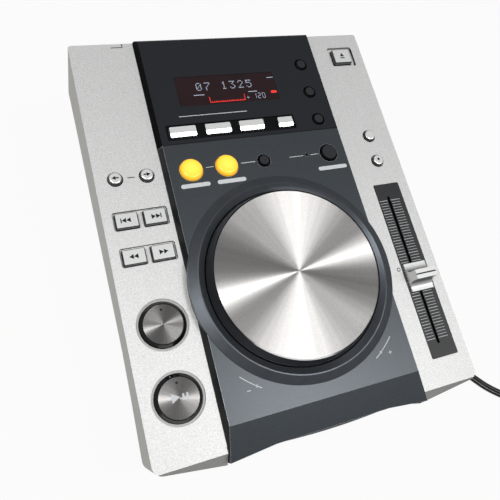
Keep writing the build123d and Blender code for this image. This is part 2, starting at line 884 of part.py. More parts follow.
for name, (u, v) in big_buttons.items():
    flange_top = panel_bottom["silver"] - seat_gap
    stem_end = board_top["silver"] + switch_height + stem_gap
    with BuildPart() as button:
        with BuildSketch(deck.offset(flange_top)):
            with Locations((u, v)):
                Circle(cap_diameter / 2)
        extrude(amount=cap_rise - flange_top)
        chamfer(deck_top(faces()), cap_bevel)
        with BuildSketch(deck.offset(cap_rise - cap_inlay_depth)):
            with Locations((u, v)):
                Circle(cap_inlay / 2)
        extrude(amount=cap_rise, mode=Mode.SUBTRACT)
        with BuildSketch(deck.offset(flange_top - flange_thickness)):
            with Locations((u, v)):
                Circle(cap_diameter / 2 + button_flange)
        extrude(amount=flange_thickness)
        with BuildSketch(deck.offset(stem_end)):
            with Locations((u, v)):
                Circle(stem_radius)
        extrude(amount=flange_top - stem_end)
    button.part.label = name
    export_step(button.part, f"parts/{name}.step")

# ---- Tempo slider -------------------------------------------------------------------------
with BuildPart() as tempo_scale_plate:
    with BuildSketch(deck.offset(-plate_thickness)):
        with Locations((plate_across, plate_station)):
            RectangleRounded(plate_width, plate_length, 0.9)
        with Locations((tempo_across, fader_slot_station)):
            Rectangle(fader_slot_width, fader_slot_length, mode=Mode.SUBTRACT)
    extrude(amount=plate_thickness)
tempo_scale_plate.part.label = "tempo_scale_plate"
export_step(tempo_scale_plate.part, "parts/tempo_scale_plate.step")

fader_width = 12.0
fader_margin = 7.0
fader_height = 8.4
fader_channel = 6.4
channel_side = 1.0
lever_depth = 7.0

with BuildPart() as tempo_fader:
    with BuildSketch(deck.offset(-case_wall - fader_height)):
        with Locations((tempo_across, fader_slot_station)):
            Rectangle(fader_width, fader_slot_length + 2 * fader_margin)
    extrude(amount=fader_height)
    with BuildSketch(deck.offset(-case_wall - fader_channel)):
        with Locations((tempo_across, fader_slot_station)):
            Rectangle(lever_width + 2 * channel_side, fader_slot_length + 2 * channel_side)
    extrude(amount=fader_channel, mode=Mode.SUBTRACT)
tempo_fader.part.label = "tempo_fader"
export_step(tempo_fader.part, "parts/tempo_fader.step")

# The knob is centred on the plate, not on the slot
knob_middle = deck.from_local_coords((plate_across, knob_station, 0))
with BuildPart() as tempo_knob:
    with BuildSketch(Plane(origin=knob_middle, x_dir=up_slope, z_dir=across)):
        half_knob = knob_length / 2
        half_ridge = knob_ridge / 2
        Polygon(
            (-half_knob, knob_gap),
            (half_knob, knob_gap),
            (half_knob, knob_end_rise),
            (half_ridge, knob_end_rise),
            (half_ridge, knob_rise),
            (-half_ridge, knob_rise),
            (-half_ridge, knob_end_rise),
            (-half_knob, knob_end_rise),
            align=None,
        )
        uprights = vertices().group_by(Axis.X)[1:3]
        fillet([upright.sort_by(Axis.Y)[0] for upright in uprights], knob_scoop)
    extrude(amount=knob_width / 2, both=True)
    with BuildSketch(Plane(origin=knob_middle, x_dir=across, z_dir=up_slope * -1)):
        Polygon(
            (-knob_width / 2, knob_gap),
            (knob_width / 2, knob_gap),
            (knob_width / 2 - knob_lean, knob_rise),
            (-knob_width / 2 + knob_lean, knob_rise),
            align=None,
        )
    extrude(amount=knob_length, both=True, mode=Mode.INTERSECT)
    with BuildSketch(deck.offset(knob_rise)):
        with Locations((plate_across, knob_station)):
            Rectangle(knob_width, 0.9)
    extrude(amount=-0.35, mode=Mode.SUBTRACT)
    with BuildSketch(deck.offset(-lever_depth)):
        with Locations((tempo_across, knob_station)):
            Rectangle(lever_width, lever_length)
    extrude(amount=lever_depth + knob_gap)
tempo_knob.part.label = "tempo_knob"
export_step(tempo_knob.part, "parts/tempo_knob.step")

# ---- Key boards ---------------------------------------------------------------------------
centre_board = (0.0, 204.0, 114.0, 96.0)  # across, up the slope, width, length

with BuildPart() as side_key_boards:
    with BuildSketch(deck.offset(-deck_board_depth)):
        for u, v, width, length in (left_board, right_board):
            with Locations((u, v)):
                Rectangle(width, length)
    extrude(amount=-board_thickness)
    with BuildSketch(deck.offset(-deck_board_depth)):
        for panel, u, v, diameter, rise in round_buttons.values():
            if panel == "silver":
                with Locations((u, v)):
                    Rectangle(switch_size, switch_size)
        for u, v, width, length, rise in pocket_buttons.values():
            with Locations((u, v)):
                Rectangle(switch_size, switch_size)
        for u, v in big_buttons.values():
            with Locations((u, v)):
                Rectangle(switch_size, switch_size)
    extrude(amount=switch_height)
side_key_boards.part.label = "side_key_boards"
export_step(side_key_boards.part, "parts/side_key_boards.step")

with BuildPart() as centre_key_board:
    with BuildSketch(deck.offset(-centre_board_depth)):
        u, v, width, length = centre_board
        with Locations((u, v)):
            Rectangle(width, length)
    extrude(amount=-board_thickness)
    with BuildSketch(deck.offset(-centre_board_depth)):
        for panel, u, v, diameter, rise in round_buttons.values():
            if panel == "fascia":
                with Locations((u, v)):
                    Rectangle(switch_size, switch_size)
        for u, width in bar_buttons.values():
            with Locations((u, bar_station)):
                Rectangle(switch_size, switch_size)
    extrude(amount=switch_height)
    with BuildSketch(deck.offset(-centre_board_depth)):
        with Locations((lamp_across, lamp_station)):
            Circle(lamp_radius)
    extrude(amount=centre_board_depth + fascia_under)
centre_key_board.part.label = "centre_key_board"
export_step(centre_key_board.part, "parts/centre_key_board.step")

# ---- Bottom chassis, feet and screws ------------------------------------------------------
floor_top = foot_height + chassis_sheet
standoff_top = 13.0
flange_inset = case_wall + 4.2
drive_front = floor_y(slot_panel_wall - fascia_mid_sweep, 17.0) + 2.5
drive_width = 150.0
drive_depth = 150.0
drive_bottom = 17.0
drive_top = 39.0
damper_inset = 12.0
drive_posts = [
    (side * (drive_width / 2 - damper_inset), drive_front + y)
    for side in (-1, 1)
    for y in (damper_inset, drive_depth - damper_inset)
]
main_board_box = (-40.0, 72.0, 104.0, 76.0)  # middle and size on the chassis
power_board_box = (62.0, 111.0, 70.0, 38.0)
standoff_margin = 4.0
vent_width = 3.2
vent_length = 26.0
vent_pitch = 8.0
vent_count = 5
vent_rows = [(-40.0, 72.0), (52.0, 66.0)]
feet = [
    (side * (half_width - foot_inset), y)
    for side in (-1, 1)
    for y in (floor_y(foot_inset), floor_y(deck_length - foot_inset))
]


def board_standoffs(box):
    """Places of the four standoffs under a flat board."""
    x, y, width, length = box
    return [
        (x + side * (width / 2 - standoff_margin), y + end * (length / 2 - standoff_margin))
        for side in (-1, 1)
        for end in (-1, 1)
    ]


with BuildPart() as bottom_chassis:
    with BuildSketch(foot_plane):
        add(foot_outline(case_wall + chassis_gap))
        with Locations(*columns):
            Circle(screw_radius + 2 * running_clearance, mode=Mode.SUBTRACT)
        for x, y in vent_rows:
            with Locations((x, y)):
                with GridLocations(vent_pitch, 1, vent_count, 1):
                    SlotOverall(vent_length, vent_width, rotation=90, mode=Mode.SUBTRACT)
    extrude(amount=chassis_sheet)
    with BuildSketch(foot_plane):
        add(foot_outline(flange_inset))
        add(foot_outline(flange_inset + chassis_sheet), mode=Mode.SUBTRACT)
        with Locations(*columns):
            Circle(boss_radius + 1.0, mode=Mode.SUBTRACT)
    extrude(amount=chassis_flange)
    with BuildSketch(foot_plane):
        with Locations(*drive_posts):
            Circle(boss_radius)
        with Locations(*board_standoffs(main_board_box), *board_standoffs(power_board_box)):
            Circle(post_radius)
    extrude(amount=standoff_top - foot_height)
bottom_chassis.part.label = "bottom_chassis"
export_step(bottom_chassis.part, "parts/bottom_chassis.step")

with BuildPart() as rubber_feet:
    with BuildSketch():
        with Locations(*feet):
            Circle(foot_radius)
    extrude(amount=foot_height)
    chamfer(faces().filter_by(Plane.XY).sort_by(Axis.Z)[:4].edges(), 1.2)
rubber_feet.part.label = "rubber_feet"
export_step(rubber_feet.part, "parts/rubber_feet.step")

with BuildPart() as casing_screws:
    with BuildSketch(Plane.XY.offset(foot_height - screw_head)):
        with Locations(*columns):
            Circle(screw_head_radius)
    extrude(amount=screw_head)
    with BuildSketch(foot_plane):
        with Locations(*columns):
            Circle(screw_radius)
    extrude(amount=12.0)
casing_screws.part.label = "casing_screws"
export_step(casing_screws.part, "parts/casing_screws.step")

# ---- Rear panel, jacks, switch ------------------------------------------------------------
panel_out = -case_wall  # the rear panel's outer face, from the rear edge of the case
panel_in = panel_out - chassis_sheet
panel_lap = 3.0
jack_neck = 4.9
jack_flange = 5.6
jack_collar = 1.5
jack_body = 13.0
jack_body_depth = 12.0
jack_hole = 1.6
jack_hole_depth = 8.0
rca_places = [(40.0 - i * rca_spacing, -jack_depth) for i in range(3)]
socket_place = (-16.0, -jack_depth)
socket_barrel = 4.0
socket_nut = 5.2
socket_reach = 3.0
socket_depth = 14.0
switch_place = (84.0, -jack_depth)
switch_body = (19.0, 15.0, 24.0)
button_size = (12.0, 9.0)
button_reach = 3.6
button_root = 9.6
pocket_room = 0.4
switch_channel = 14.0
cord_place = (-76.0, -76.0)
grip_neck = 5.0
grip_flange = 7.0

with BuildPart() as rear_panel:
    with BuildSketch(rear_wall.offset(panel_in)):
        with Locations((0, -(rear_window_top + rear_window_bottom) / 2)):
            RectangleRounded(
                2 * (rear_window_half + panel_lap),
                rear_window_bottom - rear_window_top + 2 * panel_lap,
                2.0,
            )
        with Locations(*rca_places):
            Circle(jack_neck + running_clearance, mode=Mode.SUBTRACT)
        with Locations(socket_place):
            Circle(socket_barrel + running_clearance, mode=Mode.SUBTRACT)
        with Locations(cord_place):
            Circle(grip_neck + running_clearance, mode=Mode.SUBTRACT)
        with Locations(switch_place):
            Rectangle(
                button_size[0] + 2 * pocket_room,
                button_size[1] + 2 * pocket_room,
                mode=Mode.SUBTRACT,
            )
    extrude(amount=chassis_sheet)
rear_panel.part.label = "rear_panel"
export_step(rear_panel.part, "parts/rear_panel.step")

with BuildPart() as rear_jacks:
    with BuildSketch(rear_wall.offset(panel_in)):
        with Locations(*rca_places, socket_place):
            Rectangle(jack_body, jack_body)
    extrude(amount=-jack_body_depth)
    with BuildSketch(rear_wall.offset(panel_in)):
        with Locations(*rca_places):
            Circle(jack_neck)
        with Locations(socket_place):
            Circle(socket_barrel)
    extrude(amount=chassis_sheet)
    with BuildSketch(rear_wall.offset(panel_out)):
        with Locations(*rca_places):
            Circle(jack_flange)
        with Locations(socket_place):
            RegularPolygon(socket_nut, 6)
    extrude(amount=jack_collar)
    with BuildSketch(rear_wall.offset(panel_out)):
        with Locations(*rca_places):
            Circle(rca_radius)
    extrude(amount=jack_reach - panel_out)
    with BuildSketch(rear_wall.offset(panel_out)):
        with Locations(socket_place):
            Circle(socket_barrel)
    extrude(amount=socket_reach)
    with BuildSketch(rear_wall.offset(jack_reach)):
        with Locations(*rca_places):
            Circle(jack_hole)
    extrude(amount=-jack_hole_depth, mode=Mode.SUBTRACT)
    with BuildSketch(rear_wall.offset(panel_out + socket_reach)):
        with Locations(socket_place):
            Circle(socket_radius)
    extrude(amount=-socket_depth, mode=Mode.SUBTRACT)
rear_jacks.part.label = "rear_jacks"
export_step(rear_jacks.part, "parts/rear_jacks.step")

with BuildPart() as power_switch:
    with BuildSketch(rear_wall.offset(panel_in)):
        with Locations(switch_place):
            Rectangle(switch_body[0], switch_body[1])
    extrude(amount=-switch_body[2])
    with BuildSketch(rear_wall.offset(panel_in)):
        with Locations(switch_place):
            Rectangle(button_size[0] + 2 * pocket_room, button_size[1] + 2 * pocket_room)
    extrude(amount=-switch_channel, mode=Mode.SUBTRACT)
power_switch.part.label = "power_switch"
export_step(power_switch.part, "parts/power_switch.step")

with BuildPart() as power_button:
    with BuildSketch(rear_wall.offset(-button_root)):
        with Locations(switch_place):
            RectangleRounded(button_size[0], button_size[1], 1.0)
    extrude(amount=button_root + button_reach)
    fillet(faces().sort_by(Axis(deck_origin, up_slope))[-1].edges(), 0.7)
power_button.part.label = "power_button"
export_step(power_button.part, "parts/power_button.step")

# ---- Boards and mains parts on the chassis ------------------------------------------------
def flat_board(box):
    """A circuit board on its standoffs."""
    x, y, width, length = box
    with BuildPart() as blank:
        with BuildSketch(Plane.XY.offset(standoff_top)):
            with Locations((x, y)):
                Rectangle(width, length)
            with Locations(*columns):
                Circle(boss_radius + 1.0, mode=Mode.SUBTRACT)
        extrude(amount=board_thickness)
    return blank.part


board_face = Plane.XY.offset(standoff_top + board_thickness)
main_blank = flat_board(main_board_box)
power_blank = flat_board(power_board_box)

with BuildPart() as main_board:
    add(main_blank)
    x, y, width, length = main_board_box
    with BuildSketch(board_face):
        with Locations((x - 14, y + 4)):
            Rectangle(24, 24)
        with Locations((x + 18, y - 10)):
            Rectangle(14, 20)
    extrude(amount=2.4)
    with BuildSketch(board_face):
        with Locations((x + 38, y + 22), (x + 38, y + 8), (x - 40, y - 24)):
            Circle(5)
    extrude(amount=11)
    with BuildSketch(board_face):
        with Locations((x, y - length / 2 + 6)):
            Rectangle(40, 6)
    extrude(amount=7)
main_board.part.label = "main_board"
export_step(main_board.part, "parts/main_board.step")

with BuildPart() as power_board:
    add(power_blank)
    x, y, width, length = power_board_box
    with BuildSketch(board_face):
        with Locations((x + 22, y + 3), (x + 22, y - 11)):
            Circle(6)
    extrude(amount=20)
    with BuildSketch(board_face):
        with Locations((x - 20, y)):
            Rectangle(4, 26)
    extrude(amount=24)
    with BuildSketch(board_face):
        with Locations((x - 8, y - 12)):
            Rectangle(10, 8)
    extrude(amount=8)
power_board.part.label = "power_board"
export_step(power_board.part, "parts/power_board.step")

transformer_place = (52.0, 62.0)
core = (48.0, 18.0, 36.0)
winding = (30.0, 34.0, 26.0)
core_foot = 2.0

with BuildPart() as mains_transformer:
    with BuildSketch(Plane.XY.offset(floor_top)):
        with Locations(transformer_place):
            Rectangle(core[0] + 16, core[1])
    extrude(amount=core_foot)
    with BuildSketch(Plane.XY.offset(floor_top)):
        with Locations(transformer_place):
            Rectangle(core[0], core[1])
    extrude(amount=core[2])
    with BuildSketch(Plane.XY.offset(floor_top + (core[2] - winding[2]) / 2)):
        with Locations(transformer_place):
            RectangleRounded(winding[0], winding[1], 4)
    extrude(amount=winding[2])
mains_transformer.part.label = "mains_transformer"
export_step(mains_transformer.part, "parts/mains_transformer.step")

# ---- Slot-loading drive -------------------------------------------------------------------
drive_sheet = 1.2
drive_floor = drive_bottom + drive_sheet
hub_y = drive_front + 84.0
mouth_width = 130.0
mouth_height = 7.0
roller_y = drive_front + 12.0
roller_radius = 4.5
roller_top = slot_height - 2.3
roller_height = roller_top - roller_radius
roller_length = 122.0
shaft_radius = 1.5
motor_radius = 13.0
motor_height = 3.6
turntable_radius = 15.0
turntable_thickness = 2.6
turntable_gap = 0.4
centring_radius = 7.3
hub_top = slot_height - 2.6
rail_radius = 1.5
rail_height = 21.6
rail_spread = 13.0
rail_start = 18.0
rail_post = (3.0, 6.0)
sled_width = 20.0
sled_length = 33.0
sled_floor_gap = 0.6
sled_top = 24.6
sled_start = 30.0
lens_radius = 3.5
lens_top = 26.4

drive_middle = drive_front + drive_depth / 2

with BuildPart() as drive_chassis:
    with BuildSketch(Plane.XY.offset(drive_bottom)):
        with Locations((0, drive_middle)):
            Rectangle(drive_width, drive_depth)
    extrude(amount=drive_top - drive_bottom)
    with BuildSketch(Plane.XY.offset(drive_floor)):
        with Locations((0, drive_middle)):
            Rectangle(drive_width - 2 * drive_sheet, drive_depth - 2 * drive_sheet)
    extrude(amount=drive_top - drive_bottom - 2 * drive_sheet, mode=Mode.SUBTRACT)
    with BuildSketch(slot_plane):
        Rectangle(mouth_width, mouth_height)
    extrude(amount=drive_front + 2 * drive_sheet - slot_plane.origin.Y, mode=Mode.SUBTRACT)
    # Clamp window in the lid
    with BuildSketch(Plane.XY.offset(drive_top - 2 * drive_sheet)):
        with Locations((0, hub_y)):
            Circle(turntable_radius + 3)
    extrude(amount=3 * drive_sheet, mode=Mode.SUBTRACT)
    # Posts for the sled's rails
    with BuildSketch(Plane.XY.offset(drive_floor)):
        with Locations((rail_start, hub_y - rail_spread), (rail_start, hub_y + rail_spread)):
            Rectangle(*rail_post)
    extrude(amount=rail_height + rail_radius + 1 - drive_floor)
    # Bores for the rails and the roller's shaft
    with BuildSketch(Plane.YZ.offset(rail_start - rail_post[0])):
        with Locations((hub_y - rail_spread, rail_height), (hub_y + rail_spread, rail_height)):
            Circle(rail_radius + running_clearance)
    extrude(amount=drive_width, mode=Mode.SUBTRACT)
    with BuildSketch(Plane.YZ.offset(-drive_width)):
        with Locations((roller_y, roller_height)):
            Circle(shaft_radius + running_clearance)
    extrude(amount=2 * drive_width, mode=Mode.SUBTRACT)
drive_chassis.part.label = "drive_chassis"
export_step(drive_chassis.part, "parts/drive_chassis.step")

with BuildPart() as drive_dampers:
    with BuildSketch(Plane.XY.offset(standoff_top)):
        with Locations(*drive_posts):
            Circle(boss_radius + 1.4)
            Circle(screw_radius, mode=Mode.SUBTRACT)
    extrude(amount=drive_bottom - standoff_top)
drive_dampers.part.label = "drive_dampers"
export_step(drive_dampers.part, "parts/drive_dampers.step")

with BuildPart() as loading_roller:
    with BuildSketch(Plane.YZ.offset(-roller_length / 2)):
        with Locations((roller_y, roller_height)):
            Circle(roller_radius)
    extrude(amount=roller_length)
    with BuildSketch(Plane.YZ.offset(-drive_width / 2)):
        with Locations((roller_y, roller_height)):
            Circle(shaft_radius)
    extrude(amount=drive_width)
loading_roller.part.label = "loading_roller"
export_step(loading_roller.part, "parts/loading_roller.step")

with BuildPart() as spindle_motor:
    with BuildSketch(Plane.XY.offset(drive_floor)):
        with Locations((0, hub_y)):
            Circle(motor_radius)
    extrude(amount=motor_height)
    with BuildSketch(Plane.XY.offset(drive_floor)):
        with Locations((0, hub_y)):
            Circle(shaft_radius + running_clearance)
    extrude(amount=motor_height, mode=Mode.SUBTRACT)
spindle_motor.part.label = "spindle_motor"
export_step(spindle_motor.part, "parts/spindle_motor.step")

turntable_bottom = drive_floor + motor_height + turntable_gap

with BuildPart() as disc_hub:
    with BuildSketch(Plane.XY.offset(turntable_bottom)):
        with Locations((0, hub_y)):
            Circle(turntable_radius)
    extrude(amount=turntable_thickness)
    with BuildSketch(Plane.XY.offset(turntable_bottom)):
        with Locations((0, hub_y)):
            Circle(centring_radius)
    extrude(amount=hub_top - turntable_bottom)
    chamfer(faces().filter_by(Plane.XY).sort_by(Axis.Z)[-1].edges(), 1.2)
    with BuildSketch(Plane.XY.offset(drive_floor + turntable_gap)):
        with Locations((0, hub_y)):
            Circle(shaft_radius)
    extrude(amount=turntable_bottom - drive_floor)
disc_hub.part.label = "disc_hub"
export_step(disc_hub.part, "parts/disc_hub.step")

with BuildPart() as sled_rails:
    with BuildSketch(Plane.YZ.offset(rail_start - rail_post[0] / 2)):
        with Locations((hub_y - rail_spread, rail_height), (hub_y + rail_spread, rail_height)):
            Circle(rail_radius)
    extrude(amount=drive_width / 2 - rail_start + rail_post[0] / 2)
sled_rails.part.label = "sled_rails"
export_step(sled_rails.part, "parts/sled_rails.step")

with BuildPart() as laser_sled:
    with BuildSketch(Plane.XY.offset(drive_floor + sled_floor_gap)):
        with Locations((sled_start, hub_y)):
            Rectangle(sled_width, sled_length)
    extrude(amount=sled_top - drive_floor - sled_floor_gap)
    with BuildSketch(Plane.XY.offset(sled_top)):
        with Locations((sled_start, hub_y)):
            Circle(lens_radius)
    extrude(amount=lens_top - sled_top)
    with BuildSketch(Plane.YZ):
        with Locations((hub_y - rail_spread, rail_height), (hub_y + rail_spread, rail_height)):
            Circle(rail_radius + running_clearance)
    extrude(amount=drive_width / 2, mode=Mode.SUBTRACT)
laser_sled.part.label = "laser_sled"
export_step(laser_sled.part, "parts/laser_sled.step")

# ---- Mains lead ---------------------------------------------------------------------------
cord_radius = 3.0
grip_length = 22.0
grip_start_radius = 5.4
grip_end_radius = 3.9
grip_rings = 5
grip_ring = 2.6
grip_groove = 1.4
grip_skin = 0.9
coil_middle = (half_width + 82.3, -206.0)
coil_inner = 24.0
coil_outer = 42.0
coil_height = 7.2
plug_angle = radians(-40.0)

grip_axis_plane = Plane(
    origin=rear_wall.from_local_coords((*cord_place, 0)), x_dir=across, z_dir=out_of_deck
)
grip_axis = Axis(grip_axis_plane.origin, up_slope)

with BuildPart() as cord_grip:
    with BuildSketch(grip_axis_plane):
        with BuildLine():
            outline = [
                (0, panel_in - 2.0),
                (grip_flange, panel_in - 2.0),
                (grip_flange, panel_in),
                (grip_neck, panel_in),
                (grip_neck, panel_out),
                (grip_flange, panel_out),
                (grip_flange, panel_out + 2.0),
            ]
            pitch = (grip_length - panel_out - 2.0) / grip_rings
            for i in range(grip_rings):
                start = panel_out + 2.0 + i * pitch
                radius = grip_start_radius + (grip_end_radius - grip_start_radius) * (
                    i / (grip_rings - 1)
                )
                outline += [
                    (radius, start),
                    (radius, start + grip_ring),
                    (radius - grip_skin, start + grip_ring),
                    (radius - grip_skin, start + pitch),
                ]
            outline += [(0, grip_length)]
            Polyline(*outline, close=True)
        make_face()
    revolve(axis=grip_axis)
cord_grip.part.label = "cord_grip"
export_step(cord_grip.part, "parts/cord_grip.step")

cord_start = rear_wall.from_local_coords((*cord_place, grip_length))
cord_route = [
    cord_start,
    cord_start + up_slope * 18.0,
    (80.0, 190.0, 27.0),
    (88.0, 208.0, 11.0),
    (half_width + 0.3, 221.0, 3.2),
    (half_width + 25.3, 220.0, 3.1),
    (half_width + 44.3, 202.0, 3.1),
    (half_width + 52.3, 174.0, 3.1),
    (half_width + 52.3, 140.0, 3.1),
    (half_width + 45.3, 98.0, 3.1),
    (half_width + 35.3, 50.0, 3.1),
    (half_width + 27.3, 2.0, 3.1),
    (half_width + 17.8, -46.0, 3.1),
    (half_width + 13.8, -84.0, 3.1),
    (half_width + 22.8, -112.5, 3.1),
    (half_width + 38.8, -133.5, 3.1),
    (half_width + 47.1, -143.9, 3.1),
    (half_width + 60.3, -154.5, 3.1),
    (half_width + 77.3, -162.4, 3.1),
    (half_width + 96.7, -169.7, 3.1),
]
arc_share = 0.45


def route_radii(route):
    """The arc at each inner point, as large as its two runs allow."""
    points = [Vector(p) for p in route]
    radii = []
    for before, here, after in zip(points, points[1:], points[2:]):
        run_in, run_out = here - before, after - here
        turn = radians(run_in.get_angle(run_out))
        radii.append(arc_share * min(run_in.length, run_out.length) / tan(turn / 2))
    return radii


cord_radii = route_radii(cord_route)
print("cord radii", [round(r, 1) for r in cord_radii])

with BuildPart() as cord_lead:
    with BuildLine() as route_line:
        FilletPolyline(*cord_route, radius=cord_radii)
    with BuildSketch(Plane(origin=cord_start, x_dir=across, z_dir=up_slope)):
        Circle(cord_radius)
    sweep(path=route_line.wires()[0])
cord_length = route_line.wires()[0].length
print("cord tube", round(cord_length, 1), "mm; volume over section times length",
      round(cord_lead.part.volume / (pi * cord_radius**2 * cord_length), 4))
cord_lead.part.label = "cord_lead"
export_step(cord_lead.part, "parts/cord_lead.step")

with BuildPart() as cord_coil:
    with BuildSketch():
        with Locations(coil_middle):
            Circle(coil_outer)
            Circle(coil_inner, mode=Mode.SUBTRACT)
    extrude(amount=coil_height)
cord_coil.part.label = "cord_coil"
export_step(cord_coil.part, "parts/cord_coil.step")

plug_width = 25.0
plug_thickness = 16.0
plug_length = 33.0
plug_back = 16.0
plug_neck_length = 16.0
blade_width = 6.35
blade_thickness = 1.5
blade_length = 17.0
blade_spacing = 12.7
coil_mid_radius = (coil_inner + coil_outer) / 2
plug_heading = Vector(sin(plug_angle), -cos(plug_angle), 0)
plug_seat = Vector(
    coil_middle[0] + coil_mid_radius * cos(plug_angle),
    coil_middle[1] + coil_mid_radius * sin(plug_angle),
    coil_height + plug_thickness / 2,
)
plug_plane = Plane(
    origin=plug_seat - plug_heading * plug_back,
    x_dir=plug_heading.cross(Vector(0, 0, 1)),
    z_dir=plug_heading,
)

with BuildPart() as plug_body:
    with BuildSketch(plug_plane):
        RectangleRounded(plug_width - 6, plug_thickness - 3, 4)
    with BuildSketch(plug_plane.offset(plug_length * 0.55)):
        RectangleRounded(plug_width, plug_thickness, 4)
    loft()
    with BuildSketch(plug_plane.offset(plug_length * 0.55)):
        RectangleRounded(plug_width, plug_thickness, 4)
    extrude(amount=plug_length * 0.45)
    with BuildSketch(plug_plane.offset(-plug_neck_length)):
        Circle(grip_end_radius)
    with BuildSketch(plug_plane):
        Circle(grip_start_radius + 0.4)
    loft()
plug_body.part.label = "plug_body"
export_step(plug_body.part, "parts/plug_body.step")

with BuildPart() as plug_blades:
    with BuildSketch(plug_plane.offset(plug_length)):
        with Locations((-blade_spacing / 2, 0), (blade_spacing / 2, 0)):
            Rectangle(blade_thickness, blade_width)
    extrude(amount=blade_length)
plug_blades.part.label = "plug_blades"
export_step(plug_blades.part, "parts/plug_blades.step")
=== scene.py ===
import bpy
import bmesh
from math import cos, pi, radians, sin
from mathutils import Matrix, Vector


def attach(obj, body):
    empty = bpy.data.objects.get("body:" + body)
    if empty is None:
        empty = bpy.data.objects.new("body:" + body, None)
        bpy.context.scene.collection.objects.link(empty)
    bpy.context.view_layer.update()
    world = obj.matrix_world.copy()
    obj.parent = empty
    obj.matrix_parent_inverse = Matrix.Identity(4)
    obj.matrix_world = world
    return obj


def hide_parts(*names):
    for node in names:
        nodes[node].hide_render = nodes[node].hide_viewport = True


# Tabletop disc player for mixing: finishes for its CAD nodes, print, lit display and mains lead
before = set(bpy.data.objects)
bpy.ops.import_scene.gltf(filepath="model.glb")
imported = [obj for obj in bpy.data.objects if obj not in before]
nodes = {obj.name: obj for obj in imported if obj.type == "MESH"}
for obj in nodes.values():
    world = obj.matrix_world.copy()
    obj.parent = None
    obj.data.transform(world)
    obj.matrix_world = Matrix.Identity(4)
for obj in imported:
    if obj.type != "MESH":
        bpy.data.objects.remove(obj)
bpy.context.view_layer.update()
scene = bpy.context.scene
scene.view_settings.view_transform = "Standard"
mm = 0.001
reliefDepth = 0.1 * mm  # how deep a relief of full strength is
print("loaded", len(nodes), "CAD nodes")

# The control deck: x across, y up the slope, z out of it, in millimetres. All print, keys and
# marks are placed on it by how far across and how far along they are
deck = {"tilt": 10.0, "frontY": -136.448, "frontHeight": 56.8, "length": 264.9}
tilt = radians(deck["tilt"])
deckPlace = (
    Matrix.Translation(Vector((0, deck["frontY"], deck["frontHeight"])) * mm)
    @ Matrix.Rotation(tilt, 4, "X")
    @ Matrix.Scale(mm, 4)
)
# The rear wall: x to the user's left, y up the wall, z out of it
rearPlace = deckPlace @ Matrix(
    ((-1, 0, 0, 0), (0, 0, 1, deck["length"]), (0, 1, 0, 0), (0, 0, 0, 1))
)
outOfDeck = Vector((0, -sin(tilt), cos(tilt)))
upSlope = Vector((0, cos(tilt), sin(tilt)))


def atHeight(height):
    return deckPlace @ Matrix.Translation((0, 0, height))


# camera
view = {
    "place": (-0.12299, -0.15490, 0.34904),  # metres
    "turn": (28.227, -12.276, -17.627),  # degrees
    "lens": 36.856,
    "sensor": 36,
    "shift": (-0.0060, 0.0052),
    "nearest": 0.01,
}
cameraData = bpy.data.cameras.new("studioCamera")
cameraData.sensor_width = view["sensor"]
cameraData.lens = view["lens"]
cameraData.shift_x, cameraData.shift_y = view["shift"]
cameraData.clip_start = view["nearest"]
camera = bpy.data.objects.new("studioCamera", cameraData)
camera.location = view["place"]
camera.rotation_euler = [radians(a) for a in view["turn"]]
scene.collection.objects.link(camera)
scene.camera = camera


# materials: shared steps
def linear(hexColour):
    channels = [int(hexColour[i : i + 2], 16) / 255 for i in (1, 3, 5)]
    return [c / 12.92 if c <= 0.04045 else ((c + 0.055) / 1.055) ** 2.4 for c in channels] + [1]


def addNode(tree, kind, settings=None, links=None):
    node = tree.nodes.new("ShaderNode" + kind)
    for name, value in (settings or {}).items():
        if isinstance(name, int) or name in node.inputs:
            node.inputs[name].default_value = value
        else:
            setattr(node, name, value)
    for name, socket in (links or {}).items():
        tree.links.new(socket, node.inputs[name])
    return node


def startMaterial(name, settings):
    material = bpy.data.materials.new(name)
    material.use_nodes = True
    tree = material.node_tree
    tree.nodes.clear()
    shader = addNode(tree, "BsdfPrincipled", settings)
    addNode(tree, "OutputMaterial", links={"Surface": shader.outputs["BSDF"]})
    return material, tree, shader


# Patches of uneven colour between two hex values, and grains of a fine relief: both sizes are in
# millimetres
def addSurface(tree, shader, colours, patch, grain, relief):
    place = addNode(tree, "TexCoord").outputs["Object"]
    patches = addNode(tree, "TexNoise", {"Scale": 1 / (patch * mm)}, {"Vector": place})
    shade = addNode(
        tree,
        "Mix",
        {"data_type": "RGBA", 6: linear(colours[0]), 7: linear(colours[1])},
        {0: patches.outputs["Fac"]},
    )
    tree.links.new(shade.outputs[2], shader.inputs["Base Color"])
    if relief > 0:
        grains = addNode(tree, "TexNoise", {"Scale": 1 / (grain * mm)}, {"Vector": place})
        bump = addNode(
            tree,
            "Bump",
            {"Strength": relief, "Distance": reliefDepth},
            {"Height": grains.outputs["Fac"]},
        )
        tree.links.new(bump.outputs["Normal"], shader.inputs["Normal"])
    return place


# A second colour over what the surface has, as far as the share says
def layOver(tree, shader, colour, share, blend="MIX"):
    under = shader.inputs["Base Color"].links[0].from_socket
    mix = addNode(
        tree,
        "Mix",
        {"data_type": "RGBA", "blend_type": blend, 7: linear(colour)},
        {0: share.outputs["Result"], 6: under},
    )
    tree.links.new(mix.outputs[2], shader.inputs["Base Color"])
    return mix


